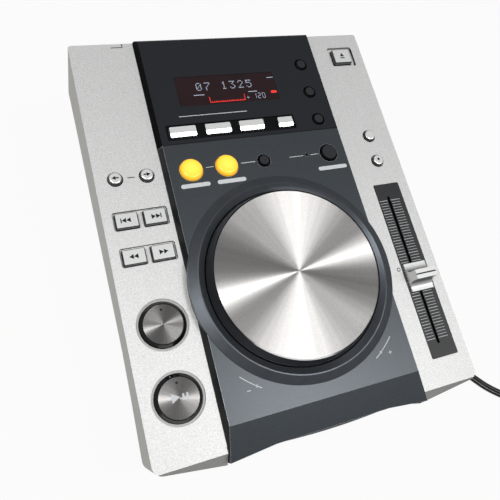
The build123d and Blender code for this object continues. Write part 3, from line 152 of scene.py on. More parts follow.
# Faces that look along one way of the object, or both ways, take a second colour: the share of it
# goes from none to all between the two limits
def darkenSides(tree, shader, colour, way, limits, bothWays=True):
    normal = addNode(tree, "TexCoord").outputs["Normal"]
    along = addNode(tree, "VectorMath", {"operation": "DOT_PRODUCT", 1: way}, {0: normal})
    if bothWays:
        along = addNode(tree, "Math", {"operation": "ABSOLUTE"}, {0: along.outputs["Value"]})
    share = addNode(
        tree,
        "MapRange",
        {"From Min": limits[0], "From Max": limits[1]},
        {"Value": along.outputs["Value"]},
    )
    return layOver(tree, shader, colour, share)


# What lies lower than a height over the deck's plane, in millimetres, takes a second colour
def darkenBelow(tree, shader, colour, height, blend=0.1):
    place = addNode(tree, "TexCoord").outputs["Object"]
    base = deckPlace.translation
    rise = addNode(tree, "VectorMath", {"operation": "SUBTRACT", 1: base}, {0: place})
    rise = addNode(
        tree, "VectorMath", {"operation": "DOT_PRODUCT", 1: outOfDeck}, {0: rise.outputs["Vector"]}
    )
    share = addNode(
        tree,
        "MapRange",
        {"From Min": height * mm, "From Max": (height - blend) * mm},
        {"Value": rise.outputs["Value"]},
    )
    layOver(tree, shader, colour, share)


def paint(material, *names):
    for name in names:
        piece = nodes[name]
        if not piece.material_slots:
            piece.data.materials.append(material)
        for place in piece.material_slots:
            place.link = "OBJECT"
            place.material = material


# The two large caps: where their middles are on the deck
caps = {"cue_button": (-84.2, 76.4), "play_button": (-84.4, 35.0)}

# materials
# Silver metallic paint on moulded ABS: a satin grey with fine bright flakes
# Colours of painted shade on the silver paint: black in the slots and wells, greyer on the outer
# walls and the nose, darker on the rims round the caps
silver = {
    "wells": "#101010",
    "wellsWithin": (99, 100),  # mm from the middle
    "walls": "#d4d2cc",
    "wallLimits": (0.6, 0.9),
    "nose": "#b2b2b1",
    "noseLimits": (0.5, 0.8),
    "rims": "#c9c9c8",
    "rimRadii": (15.3, 14.7),  # the shade fades in from one to the other
}
silverPaint, tree, shader = startMaterial(
    "silverPaint", {"Metallic": 0.38, "Roughness": 0.5, "Specular IOR Level": 0.25}
)
# Flakes are about 0.05 mm, drawn 0.6 mm so that they show
place = addSurface(tree, shader, ("#a2a2a1", "#f1f1f0"), 0.6, 0.5, 0.15)
flakes = shader.inputs["Base Color"].links[0].from_socket
# Painted shade: the outer walls are painted greyer, and the walls of the slots and wells within
# are painted black
across = addNode(tree, "SeparateXYZ", None, {"Vector": place})
outward = addNode(tree, "Math", {"operation": "ABSOLUTE"}, {0: across.outputs["X"]})
outside = addNode(
    tree,
    "MapRange",
    {"From Min": silver["wellsWithin"][0] * mm, "From Max": silver["wellsWithin"][1] * mm},
    {"Value": outward.outputs["Value"]},
)
greyer = addNode(
    tree,
    "Mix",
    {"data_type": "RGBA", "blend_type": "MULTIPLY", 0: 1.0, 7: linear(silver["walls"])},
    {6: flakes},
)
wall = addNode(
    tree,
    "Mix",
    {"data_type": "RGBA", 6: linear(silver["wells"])},
    {0: outside.outputs["Result"], 7: greyer.outputs[2]},
)
sides = darkenSides(tree, shader, silver["wells"], (1, 0, 0), silver["wallLimits"])
tree.links.new(wall.outputs[2], sides.inputs[7])
# Painted shade: the nose leans away from the light, so its colour is painted the greyest
nose = addNode(
    tree,
    "Mix",
    {"data_type": "RGBA", "blend_type": "MULTIPLY", 0: 1.0, 7: linear(silver["nose"])},
    {6: flakes},
)
front = darkenSides(tree, shader, silver["nose"], (0, -1, 0), silver["noseLimits"], False)
tree.links.new(nose.outputs[2], front.inputs[7])
# Painted shade: the shallow rims sunk round the two caps are painted darker, as less light reaches
# them
for across, along in caps.values():
    middle = deckPlace @ Vector((across, along, 0))
    away = addNode(tree, "VectorMath", {"operation": "SUBTRACT", 1: middle}, {0: place})
    aside = addNode(
        tree,
        "VectorMath",
        {"operation": "CROSS_PRODUCT", 1: outOfDeck},
        {0: away.outputs["Vector"]},
    )
    distance = addNode(tree, "VectorMath", {"operation": "LENGTH"}, {0: aside.outputs["Vector"]})
    inRim = addNode(
        tree,
        "MapRange",
        {"From Min": silver["rimRadii"][0] * mm, "From Max": silver["rimRadii"][1] * mm},
        {"Value": distance.outputs["Value"]},
    )
    layOver(tree, shader, silver["rims"], inRim, "MULTIPLY")

# Charcoal metallic paint on moulded ABS: blue-grey, brighter where it faces a light
charcoalPaint, tree, shader = startMaterial(
    "charcoalPaint",
    {"Metallic": 0.5, "Roughness": 0.37, "Coat Weight": 0.08, "Coat Roughness": 0.3},
)
addSurface(tree, shader, ("#31363a", "#4b5156"), 0.6, 0.5, 0.1)
# Painted shade: the flanks are painted near black, and the faces that look down are painted black
# as well
darkenSides(tree, shader, "#0d0e10", (1, 0, 0), (0.35, 0.5))
darkenSides(tree, shader, "#050506", (0, 0, -1), (0.2, 0.5), False)
# Painted highlight: the colour is lighter along the edges, where their rounding catches the light
edgeGlint = {"radius": 0.35, "limits": (0.995, 0.94), "most": 0.7, "colour": "#cdd2d6"}
rounded = addNode(tree, "Bevel", {"Radius": edgeGlint["radius"] * mm})
face = addNode(tree, "NewGeometry")
alike = addNode(
    tree, "VectorMath", {"operation": "DOT_PRODUCT"},
    {0: rounded.outputs["Normal"], 1: face.outputs["True Normal"]},
)
glintShare = addNode(
    tree,
    "MapRange",
    {"From Min": edgeGlint["limits"][0], "From Max": edgeGlint["limits"][1], "To Max": edgeGlint["most"]},
    {"Value": alike.outputs["Value"]},
)
layOver(tree, shader, edgeGlint["colour"], glintShare)

# Graphite paint on moulded ABS: nearly black and satin, with painted shade that is darkest on its
# flanks and in its wells
graphitePaint, tree, shader = startMaterial(
    "graphitePaint", {"Metallic": 0.05, "Roughness": 0.55, "Specular IOR Level": 0.05}
)
addSurface(tree, shader, ("#212326", "#2b2d30"), 0.6, 0.5, 0.08)
# Painted shade: what lies lower than the panel's top is painted darker, and the flanks are painted
# near black
darkenBelow(tree, shader, "#101113", 4.9)
darkenSides(tree, shader, "#020202", (1, 0, 0), (0.35, 0.5))

# Black ABS with a spark-eroded grain: dark grey, soft highlights
blackAbs, tree, shader = startMaterial("blackAbs", {"Roughness": 0.5})
addSurface(tree, shader, ("#131416", "#1c1d20"), 4.0, 0.5, 0.25)

# Charcoal ABS of the jog collar with metal in the melt: smooth, a long highlight on its crest
satinAbs, tree, shader = startMaterial("satinAbs", {"Metallic": 0.7, "Roughness": 0.36})
addSurface(tree, shader, ("#4a4e53", "#565b60"), 6.0, 0.6, 0.04)

# Polished black acrylic of the jog ring: mirror-like, deep black
blackAcrylic, tree, shader = startMaterial(
    "blackAcrylic", {"Roughness": 0.09, "IOR": 1.49, "Coat Weight": 0.5, "Coat Roughness": 0.04}
)
addSurface(tree, shader, ("#08080a", "#0e0f11"), 9.0, 1.0, 0.0)

# Lit amber acrylic: an orange edge and a yellow middle where the lamp sits
amber = {
    "In": ("loop_in_button", -47.6),
    "Out": ("loop_out_button", -24.3),
    "along": 166.2,
    "lampHeight": 6.0,
    "lampReach": (1.5, 8.0),  # mm from the lamp: all yellow, all orange
    "colours": ("#fdd252", "#fab524"),
}
amberAcrylic = {}
for which in ("In", "Out"):
    name, across = amber[which]
    material, tree, shader = startMaterial(
        "amberAcrylic" + which, {"Roughness": 0.3, "Emission Strength": 0.55}
    )
    centre = deckPlace @ Vector((across, amber["along"], amber["lampHeight"]))
    place = addNode(tree, "TexCoord").outputs["Object"]
    away = addNode(tree, "VectorMath", {"operation": "DISTANCE", 1: centre}, {0: place})
    lamp = addNode(
        tree,
        "MapRange",
        {"From Min": amber["lampReach"][0] * mm, "From Max": amber["lampReach"][1] * mm},
        {"Value": away.outputs["Value"]},
    )
    glow = addNode(
        tree,
        "Mix",
        {"data_type": "RGBA", 6: linear(amber["colours"][0]), 7: linear(amber["colours"][1])},
        {0: lamp.outputs["Result"]},
    )
    tree.links.new(glow.outputs[2], shader.inputs["Base Color"])
    tree.links.new(glow.outputs[2], shader.inputs["Emission Color"])
    amberAcrylic[name] = material

# Screen-printed ink in white, grey and black: flat, a little uneven in its tone
whiteInk, tree, shader = startMaterial("whiteInk", {"Roughness": 0.55})
addSurface(tree, shader, ("#b4b8ba", "#ccd0d2"), 1.5, 0.3, 0.1)
greyInk, tree, shader = startMaterial("greyInk", {"Roughness": 0.55})
addSurface(tree, shader, ("#a2a5a5", "#b6b9b9"), 1.5, 0.3, 0.1)
blackInk, tree, shader = startMaterial("blackInk", {"Roughness": 0.55, "Specular IOR Level": 0.2})
addSurface(tree, shader, ("#0b0b0c", "#161618"), 1.5, 0.3, 0.1)

# Lit segments of the display: pale blue and red
paleSegment, tree, shader = startMaterial(
    "paleSegment", {"Roughness": 0.4, "Emission Strength": 0.45}
)
addSurface(tree, shader, ("#7f8794", "#99a2b0"), 1.0, 1.0, 0)
shader.inputs["Emission Color"].default_value = linear("#8e99ab")
redSegment, tree, shader = startMaterial(
    "redSegment", {"Roughness": 0.4, "Emission Strength": 0.45}
)
addSurface(tree, shader, ("#c32822", "#de342b"), 1.0, 1.0, 0)
shader.inputs["Emission Color"].default_value = linear("#d42b25")

# Smoked acrylic window: nearly black, with a maroon cast from the filter behind it
smokedAcrylic, tree, shader = startMaterial("smokedAcrylic", {"Roughness": 0.16, "IOR": 1.49})
addSurface(tree, shader, ("#1d0f12", "#29161a"), 18.0, 1.0, 0.0)

# Natural rubber of feet, roller and dampers: matt, almost black
mouldedRubber, tree, shader = startMaterial("mouldedRubber", {"Roughness": 0.75})
addSurface(tree, shader, ("#161616", "#202020"), 3.0, 0.4, 0.4)

# Black felt of the slider's dust lips: no gloss at all
blackFelt, tree, shader = startMaterial(
    "blackFelt", {"Roughness": 0.95, "Specular IOR Level": 0.05}
)
addSurface(tree, shader, ("#040404", "#0a0a0a"), 0.8, 0.3, 0.3)

# Woven nylon tape with a looped face: dull black with a short soft pile
nylonTape, tree, shader = startMaterial(
    "nylonTape",
    {"Roughness": 0.8, "Specular IOR Level": 0.2, "Sheen Weight": 0.25, "Sheen Roughness": 0.4},
)
addSurface(tree, shader, ("#191a1b", "#26282a"), 0.7, 0.35, 0.5)

# Plasticised PVC of the lead, its grip and its plug: black with a dull sheen
flexiblePvc, tree, shader = startMaterial("flexiblePvc", {"Roughness": 0.27})
addSurface(tree, shader, ("#060607", "#0d0d0f"), 5.0, 0.5, 0.03)

# Silver lacquer of the slider's knob, with painted shade: darker on the slopes of its scoops than
# on top
knobLacquer, tree, shader = startMaterial("knobLacquer", {"Metallic": 0.4, "Roughness": 0.34})
addSurface(tree, shader, ("#cfd0ce", "#e9eae8"), 0.7, 0.5, 0.04)
darkenSides(tree, shader, "#545555", upSlope, (0.25, 0.85))

# Bright silver lacquer of the small keys, with painted shade on their sides: the turned-down edge
# is painted dark
keyLacquer, tree, shader = startMaterial(
    "keyLacquer", {"Metallic": 0.4, "Roughness": 0.28, "Coat Weight": 0.3, "Coat Roughness": 0.15}
)
addSurface(tree, shader, ("#dcdddb", "#f4f5f3"), 0.7, 0.5, 0.04)
darkenSides(tree, shader, "#3a3b3c", outOfDeck, (0.93, 0.75))

# Black ABS of the round keys, with painted shade: the turned-down edge is painted the darkest
keyAbs, tree, shader = startMaterial("keyAbs", {"Roughness": 0.5, "Specular IOR Level": 0.1})
addSurface(tree, shader, ("#292a2c", "#313235"), 2.0, 0.5, 0.1)
darkenSides(tree, shader, "#020202", outOfDeck, (0.97, 0.88))

# Zinc-plated steel sheet: a cool grey with faint spangle
zincSteel, tree, shader = startMaterial("zincSteel", {"Metallic": 1.0, "Roughness": 0.36})
addSurface(tree, shader, ("#8f9498", "#b4b9bc"), 7.0, 0.5, 0.05)

# Bright turned steel: shafts, screws and clips
turnedSteel, tree, shader = startMaterial("turnedSteel", {"Metallic": 1.0, "Roughness": 0.25})
addSurface(tree, shader, ("#a9abad", "#c3c5c7"), 1.2, 0.3, 0.05)

# Nickel-plated brass: jacks and plug blades, bright with a warm cast
nickelPlate, tree, shader = startMaterial("nickelPlate", {"Metallic": 1.0, "Roughness": 0.18})
addSurface(tree, shader, ("#bdb9b0", "#d6d2c8"), 4.0, 0.5, 0.0)

# Black powder coat on the rear panel's sheet: an orange-peel texture
blackPowder, tree, shader = startMaterial("blackPowder", {"Roughness": 0.55})
addSurface(tree, shader, ("#1d1d1f", "#28282a"), 3.0, 0.5, 0.5)

# Glass-epoxy board under green solder resist: a glossy dark green
glassEpoxy, tree, shader = startMaterial("glassEpoxy", {"Roughness": 0.3, "Coat Weight": 0.3})
addSurface(tree, shader, ("#123c22", "#1d5232"), 2.0, 0.5, 0.08)

# Varnished iron laminations of the transformer: brown-black and dull
varnishedIron, tree, shader = startMaterial("varnishedIron", {"Metallic": 0.6, "Roughness": 0.45})
addSurface(tree, shader, ("#2b2724", "#3d3833"), 2.0, 0.5, 0.2)


# Aluminium spun on a lathe: fine rings round its centre, so a light draws a bright sector. The
# tool's feed is about 0.1 mm, too fine to show, so its rings are drawn a few millimetres apart
spun = {
    "roughness": 0.42,
    "wobble": 0.6,
    "streaks": 60,  # in a full turn
    "cloud": 1.1,
    "relief": 0.05,
    "depth": 0.05,
    "waveTurns": 20 / (2 * pi),  # how often the wave texture repeats in a unit of its scale
}


def spunAluminium(name, centre, finish):
    material, tree, shader = startMaterial(
        name, {"Metallic": finish["metallic"], "Roughness": spun["roughness"], "Anisotropic": 1.0}
    )
    place = addNode(tree, "TexCoord").outputs["Object"]
    local = addNode(
        tree,
        "Mapping",
        {"vector_type": "TEXTURE", "Location": centre, "Rotation": (tilt, 0, 0)},
        {"Vector": place},
    ).outputs["Vector"]
    rings = addNode(
        tree,
        "TexWave",
        {
            "wave_type": "RINGS",
            "rings_direction": "Z",
            "Scale": 1 / (spun["waveTurns"] * finish["ringPitch"] * mm),
            "Distortion": spun["wobble"],
            "Detail": 2,
        },
        {"Vector": local},
    )
    # Streaks: noise that changes with the angle only
    turn = addNode(tree, "TexGradient", {"gradient_type": "RADIAL"}, {"Vector": local})
    streaks = addNode(
        tree,
        "TexNoise",
        {"noise_dimensions": "1D", "Scale": spun["streaks"], "Detail": 3},
        {"W": turn.outputs["Fac"]},
    )
    cloud = addNode(
        tree, "TexNoise", {"Scale": 1 / (spun["cloud"] * mm), "Detail": 3}, {"Vector": place}
    )
    blend = addNode(
        tree,
        "Mix",
        {"data_type": "FLOAT", 0: 0.5},
        {2: streaks.outputs["Fac"], 3: cloud.outputs["Fac"]},
    )
    shade = addNode(
        tree,
        "Mix",
        {"data_type": "RGBA", 6: linear(finish["dark"]), 7: linear(finish["bright"])},
        {0: blend.outputs[0]},
    )
    tree.links.new(shade.outputs[2], shader.inputs["Base Color"])
    # A highlight runs across the rings
    away = addNode(tree, "VectorMath", {"operation": "SUBTRACT", 1: centre}, {0: place})
    across = addNode(tree, "VectorMath", {"operation": "NORMALIZE"}, {0: away.outputs["Vector"]})
    tree.links.new(across.outputs["Vector"], shader.inputs["Tangent"])
    bump = addNode(
        tree,
        "Bump",
        {"Strength": spun["relief"], "Distance": spun["depth"] * mm},
        {"Height": rings.outputs["Fac"]},
    )
    tree.links.new(bump.outputs["Normal"], shader.inputs["Normal"])
    return material


# The jog wheel's plate is bright; the caps' discs are tinted darker
jog = {
    "along": 88.5,
    "plateTop": 13.5,
    "metallic": 1.0,
    "ringPitch": 3.1416,
    "dark": "#a8a6a4",
    "bright": "#dad8d6",
}
cap = {
    "radius": 11.3,
    "thickness": 0.42,
    "top": 2.1,
    "edge": 0.15,
    "metallic": 0.8,
    "ringPitch": 2.5133,
    "dark": "#696867",
    "bright": "#93918f",
    "ledAcross": 0.4,
    "ledUp": 8.3,
    "ledRadius": 0.7,
}
plateCentre = deckPlace @ Vector((0, jog["along"], jog["plateTop"]))
jogAluminium = spunAluminium("jogAluminium", plateCentre, jog)
capAluminium = {}
for name, at in caps.items():
    capCentre = deckPlace @ Vector((*at, cap["top"]))
    short = name.split("_")[0]
    capAluminium[name] = spunAluminium("capAluminium" + short.title(), capCentre, cap)
print("materials made")

# CAD nodes get their finishes
paint(silverPaint, "top_casing")
paint(charcoalPaint, "centre_fascia")
paint(graphitePaint, "display_panel")
paint(smokedAcrylic, "display_window", "display_module")
paint(satinAbs, "jog_collar")
paint(blackAcrylic, "jog_ring", *caps)
paint(jogAluminium, "jog_plate")
paint(blackAbs, "slot_panel", "jog_base", "tempo_scale_plate", "power_switch", "power_button")
paint(blackAbs, "laser_sled", "disc_hub")
for name, material in amberAcrylic.items():
    paint(material, name)
silverKeys = (
    "folder_back_button", "folder_forward_button", "tempo_range_button", "tempo_lock_button",
    "track_back_button", "track_forward_button", "search_back_button", "search_forward_button",
    "eject_button", "jet_button", "filter_button", "wah_button", "hold_button",
)
paint(knobLacquer, "tempo_knob")
paint(keyLacquer, *silverKeys)
paint(
    keyAbs,
    "text_button", "time_button", "auto_cue_button", "loop_exit_button", "beat_loop_button",
)
paint(zincSteel, "bottom_chassis", "drive_chassis")
paint(blackFelt, "tempo_fader")
paint(turnedSteel, "jog_spindle", "sled_rails", "spindle_motor", "casing_screws")
paint(nickelPlate, "rear_jacks", "plug_blades")
paint(blackPowder, "rear_panel")
paint(glassEpoxy, "side_key_boards", "centre_key_board", "main_board", "power_board")
paint(varnishedIron, "mains_transformer")
paint(mouldedRubber, "rubber_feet", "drive_dampers", "loading_roller")
paint(flexiblePvc, "cord_grip", "plug_body")
print("CAD nodes painted")


# modelling: shared steps
# The finished mesh is put in its place, given its finish and set on its body
def makePiece(name, shape, place, material, body, angle=None):
    bmesh.ops.transform(shape, matrix=place, verts=shape.verts)
    bmesh.ops.recalc_face_normals(shape, faces=shape.faces)
    mesh = bpy.data.meshes.new(name)
    shape.to_mesh(mesh)
    shape.free()
    mesh.materials.append(material)
    if angle is not None:
        mesh.shade_smooth()
        mesh.set_sharp_from_angle(angle=radians(angle))
    piece = bpy.data.objects.new(name, mesh)
    scene.collection.objects.link(piece)
    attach(piece, body)


# Ink: how far it stands up and reaches in, and how much the short bars of an arc overlap
ink = {"thickness": 0.05, "overlap": 1.04}


# Flat bars, dots, arrowheads, rings and arcs of print, drawn in the deck's plane
def addBar(shape, across, along, width, length, turn=0.0):
    place = Matrix.Translation((across, along, 0)) @ Matrix.Rotation(radians(turn), 4, "Z")
    place = place @ Matrix.Diagonal((width, length, 1, 1))
    bmesh.ops.create_grid(shape, x_segments=1, y_segments=1, size=0.5, matrix=place)


def addDot(shape, across, along, radius, corners=20):
    place = Matrix.Translation((across, along, 0))
    bmesh.ops.create_circle(shape, cap_ends=True, segments=corners, radius=radius, matrix=place)


# A bar with round ends: one circle whose halves are moved apart
def addPill(shape, across, along, length, width, corners=24):
    made = bmesh.ops.create_circle(
        shape, cap_ends=True, segments=corners, radius=width / 2,
        matrix=Matrix.Rotation(pi / corners, 4, "Z"),
    )
    for vert in made["verts"]:
        vert.co.x += across + (length - width) / 2 * (1 if vert.co.x > 0 else -1)
        vert.co.y += along


def addArrow(shape, across, along, size, heading):
    place = Matrix.Translation((across, along, 0)) @ Matrix.Rotation(radians(heading), 4, "Z")
    place = place @ Matrix.Rotation(radians(-90), 4, "Z")
    bmesh.ops.create_circle(shape, cap_ends=True, segments=3, radius=size, matrix=place)


def addRing(shape, across, along, outer, inner, corners=28):
    place = Matrix.Translation((across, along, 0))
    rims = [
        bmesh.ops.create_circle(shape, segments=corners, radius=r, matrix=place)["verts"]
        for r in (outer, inner)
    ]
    edges = {edge for rim in rims for vert in rim for edge in vert.link_edges}
    bmesh.ops.bridge_loops(shape, edges=list(edges))


# A stroke along an arc round a centre, from one angle to another, as short bars
def addArc(shape, centre, radius, start, end, width, steps=14):
    step = (end - start) / steps
    for i in range(steps):
        angle = start + (i + 0.5) * step
        along = Vector((cos(radians(angle)), sin(radians(angle)))) * radius
        addBar(
            shape, centre[0] + along.x, centre[1] + along.y,
            width, radians(abs(step)) * radius * ink["overlap"], angle,
        )


# Ink stands a hair above its surface, and reaches into it
def printMarks(name, shape, height, material, body="case"):
    bmesh.ops.recalc_face_normals(shape, faces=shape.faces)
    bmesh.ops.solidify(shape, geom=shape.faces[:], thickness=2 * ink["thickness"])
    top = max(v.co.z for v in shape.verts)
    bmesh.ops.translate(shape, verts=shape.verts, vec=(0, 0, ink["thickness"] - top))
    makePiece(name, shape, atHeight(height), material, body)


# mains lead: a flat twin flex. Its section and its seat, on the rear wall, are in millimetres;
# its route, coil and plug are in metres and degrees
lead = {
    "width": 6.0,
    "thickness": 3.3,
    "seat": (-76, -76, 22),
    "straightTo": (-76, -76, 40),
    "route": [
        (0.080, 0.190, 0.0270),
        (0.088, 0.208, 0.0105),
        (0.106, 0.221, 0.0024),
        (0.131, 0.220, 0.00175),
        (0.150, 0.202, 0.00175),
        (0.158, 0.174, 0.00175),
        (0.158, 0.140, 0.00175),
        (0.151, 0.098, 0.00175),
        (0.141, 0.050, 0.00175),
        (0.133, 0.002, 0.00175),
        (0.1235, -0.046, 0.00175),
        (0.1195, -0.084, 0.00175),
        (0.1285, -0.1125, 0.00175),
        (0.1445, -0.1335, 0.00175),
        (0.1528, -0.1439, 0.00175),
        (0.166, -0.1545, 0.00175),
        (0.183, -0.1624, 0.00175),
    ],
    "coilCentre": (0.188, -0.206),
    "coilRadii": [0.039, 0.033, 0.027, 0.027, 0.033, 0.039],
    "layerHeights": [0.00175, 0.00175, 0.00175, 0.0052, 0.0052, 0.0052],
    "coilStart": 68.4,
    "pointsPerTurn": 18,
    "changeOver": 0.3,
    "climb": [(60, 0.0395, 0.0056), (47, 0.041, 0.0072), (32, 0.0445, 0.0108)],
    "sharpAngle": 50,
}
plug = {
    "turn": -40.0,
    "reach": 0.033,
    "height": 0.0152,
    "length": 0.032,
    "ahead": 0.008,
    "into": 0.003,
}
cordSeat = rearPlace @ Vector(lead["seat"])
routePoints = [cordSeat, rearPlace @ Vector(lead["straightTo"])]
routePoints += [Vector(point) for point in lead["route"]]
centre = Vector((*lead["coilCentre"], 0))
steps = lead["pointsPerTurn"]
turns = len(lead["coilRadii"])
for i in range(turns * steps):
    turn, part = divmod(i, steps)
    following = min(turn + 1, turns - 1)
    # Each turn moves over in its last part
    share = max(0.0, (part / steps - 1 + lead["changeOver"]) / lead["changeOver"])
    radius = lead["coilRadii"][turn] * (1 - share) + lead["coilRadii"][following] * share
    height = lead["layerHeights"][turn] * (1 - share) + lead["layerHeights"][following] * share
    angle = radians(lead["coilStart"] - 360 * i / steps)
    # A control point stands outside the line that it draws
    reach = radius / (1 - 0.25 * (1 - cos(2 * pi / steps)))
    routePoints.append(centre + Vector((cos(angle) * reach, sin(angle) * reach, height)))
plugTurn = radians(plug["turn"])
plugHeading = Vector((sin(plugTurn), -cos(plugTurn), 0))
plugSeat = centre + Vector((cos(plugTurn), sin(plugTurn), 0)) * plug["reach"]
plugSeat += Vector((0, 0, plug["height"]))
plugTail = plugSeat - plugHeading * plug["length"]
for angle, radius, height in lead["climb"]:
    angle = radians(angle)
    routePoints.append(centre + Vector((cos(angle) * radius, sin(angle) * radius, height)))
routePoints += [plugTail - plugHeading * plug["ahead"], plugTail + plugHeading * plug["into"]]


# The flex's middle line, a smooth curve whose flat side lies down
def cordCurve(name, points):
    curve = bpy.data.curves.new(name, "CURVE")
    curve.dimensions = "3D"
    curve.twist_mode = "Z_UP"
    curve.resolution_u = 5
    spline = curve.splines.new("NURBS")
    spline.points.add(len(points) - 1)
    for knot, point in zip(spline.points, points):
        knot.co = (*point, 1)
    spline.order_u = 3
    spline.use_endpoint_u = True
    return bpy.data.objects.new(name, curve)


# The flex's section: two round lobes that meet in a waist, with a corner every 30 degrees
def flexOutline(name, width, thickness):
    lobe = thickness / 2
    reach = width / 2 - lobe
    corners = []
    for side, start in ((1, -120), (-1, 60)):
        for i in range(9):
            angle = radians(start + 30 * i)
            corners.append((side * reach + lobe * cos(angle), lobe * sin(angle)))
    curve = bpy.data.curves.new(name, "CURVE")
    spline = curve.splines.new("POLY")
    spline.points.add(len(corners) - 1)
    for knot, corner in zip(spline.points, corners):
        knot.co = (corner[0] * mm, corner[1] * mm, 0, 1)
    spline.use_cyclic_u = True
    return bpy.data.objects.new(name, curve)


line = cordCurve("leadLine", routePoints)
scene.collection.objects.link(line)
bpy.context.view_layer.update()
lineMesh = bpy.data.meshes.new_from_object(line)
linePoints = [v.co.copy() for v in lineMesh.vertices]
outline = flexOutline("flexOutline", lead["width"], lead["thickness"])
scene.collection.objects.link(outline)
line.data.bevel_mode = "OBJECT"
line.data.bevel_object = outline
line.data.use_fill_caps = True
leadMesh = bpy.data.meshes.new_from_object(
    line.evaluated_get(bpy.context.evaluated_depsgraph_get())
)
bpy.data.objects.remove(line)
bpy.data.objects.remove(outline)
leadMesh.materials.clear()
leadMesh.materials.append(flexiblePvc)
mainsLead = bpy.data.objects.new("mainsLead", leadMesh)
scene.collection.objects.link(mainsLead)
leadMesh.shade_smooth()
leadMesh.set_sharp_from_angle(angle=radians(lead["sharpAngle"]))
leadLength = sum((b - a).length for a, b in zip(linePoints, linePoints[1:]))
print("lead drawn", round(leadLength, 3), "m", len(leadMesh.polygons), "faces")
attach(mainsLead, "case")
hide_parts("cord_lead", "cord_coil")

# tie round the coil: one strap of hook-and-loop tape, its end laid over the top. It stands in
# the coil's section: first away from the coil's centre, then up, then along the turns
tie = {
    "turn": 205.0,
    "inner": 23.4,
    "outer": 42.7,
    "top": 7.5,
    "width": 9.0,
    "thickness": 0.6,
    "corner": 2.4,
    "tab": (9.5, 0.9, 8.6),
    "tabPlace": (35.05, 7.7),
    "tabEdge": 0.25,
}
strap = bmesh.new()
tieSize = (tie["outer"] - tie["inner"], tie["top"])
tieMiddle = ((tie["inner"] + tie["outer"]) / 2, tie["top"] / 2)
bmesh.ops.create_grid(
    strap, x_segments=1, y_segments=1, size=0.5,
    matrix=Matrix.Translation((*tieMiddle, 0)) @ Matrix.Diagonal((*tieSize, 1, 1)),
)
bmesh.ops.bevel(
    strap, geom=strap.verts[:], offset=tie["corner"], offset_type="OFFSET", segments=5,
    profile=0.5, affect="VERTICES", material=-1,
)
bmesh.ops.delete(strap, geom=strap.faces[:], context="FACES_ONLY")
band = bmesh.ops.extrude_edge_only(strap, edges=strap.edges[:])["geom"]
bmesh.ops.translate(
    strap, verts=[v for v in band if isinstance(v, bmesh.types.BMVert)], vec=(0, 0, tie["width"])
)
bmesh.ops.recalc_face_normals(strap, faces=strap.faces)
bmesh.ops.solidify(strap, geom=strap.faces[:], thickness=tie["thickness"])
tab = bmesh.ops.create_cube(
    strap, size=1,
    matrix=Matrix.Translation((*tie["tabPlace"], tie["width"] / 2))
    @ Matrix.Diagonal((*tie["tab"], 1)),
)["verts"]
bmesh.ops.bevel(
    strap, geom=list({e for v in tab for e in v.link_edges}), offset=tie["tabEdge"],
    offset_type="OFFSET", segments=2, profile=0.5, affect="EDGES", material=-1,
)
bmesh.ops.translate(strap, verts=strap.verts, vec=(0, 0, -tie["width"] / 2))
tiePlace = Matrix.Translation(centre) @ Matrix.Rotation(radians(tie["turn"]), 4, "Z")
tiePlace = tiePlace @ Matrix.Rotation(radians(90), 4, "X") @ Matrix.Scale(mm, 4)
makePiece("coilTie", strap, tiePlace, nylonTape, "case", angle=30)

# tempo scale: marks on the plate, dots and end signs on the deck beside it
tempo = {
    "pitch": 1.961,
    "first": 29.6,
    "marks": 51,
    "left": (78.6, 84.9),
    "right": (87.6, 95.0),
    "bold": 0.42,
    "fine": 0.32,
    "fineInset": 0.3,
    "dotsAcross": 75.9,
    "dotRadius": 0.36,
    "signsAcross": 75.7,
    "signStroke": 0.5,
    "minus": 2.4,
    "plus": 2.2,
    "past": 0.6,
    "zero": (75.4, 1.35, 0.85),
}
middleMark = (tempo["marks"] - 1) // 2
last = tempo["first"] + (tempo["marks"] - 1) * tempo["pitch"]
scale = bmesh.new()
for i in range(tempo["marks"]):
    along = tempo["first"] + i * tempo["pitch"]
    bold = i % 5 == 0
    for low, high in (tempo["left"], tempo["right"]):
        width = high - low - (0 if bold else 2 * tempo["fineInset"])
        addBar(scale, (low + high) / 2, along, width, tempo["bold" if bold else "fine"])
printMarks("tempoMarks", scale, 0, greyInk)
dots = bmesh.new()
for i in range(1, tempo["marks"] - 1):
    if i != middleMark:
        along = tempo["first"] + i * tempo["pitch"]
        addDot(dots, tempo["dotsAcross"], along, tempo["dotRadius"], 8)
minusAlong, plusAlong = last + tempo["past"], tempo["first"] - tempo["past"]
addBar(dots, tempo["signsAcross"], minusAlong, tempo["minus"], tempo["signStroke"])
addBar(dots, tempo["signsAcross"], plusAlong, tempo["plus"], tempo["signStroke"])
addBar(dots, tempo["signsAcross"], plusAlong, tempo["signStroke"], tempo["plus"])
zeroAcross, outer, inner = tempo["zero"]
addRing(dots, zeroAcross, (tempo["first"] + last) / 2, outer, inner)
printMarks("tempoDots", dots, 0, blackInk)

# line across the slider's knob: (across, along, width, length)
knob = {"line": (87.9, 71.6, 15.4, 0.8), "top": 9.95}
knobLine = bmesh.new()
addBar(knobLine, *knob["line"])
printMarks("knobLine", knobLine, knob["top"], blackInk, "tempo_slider")

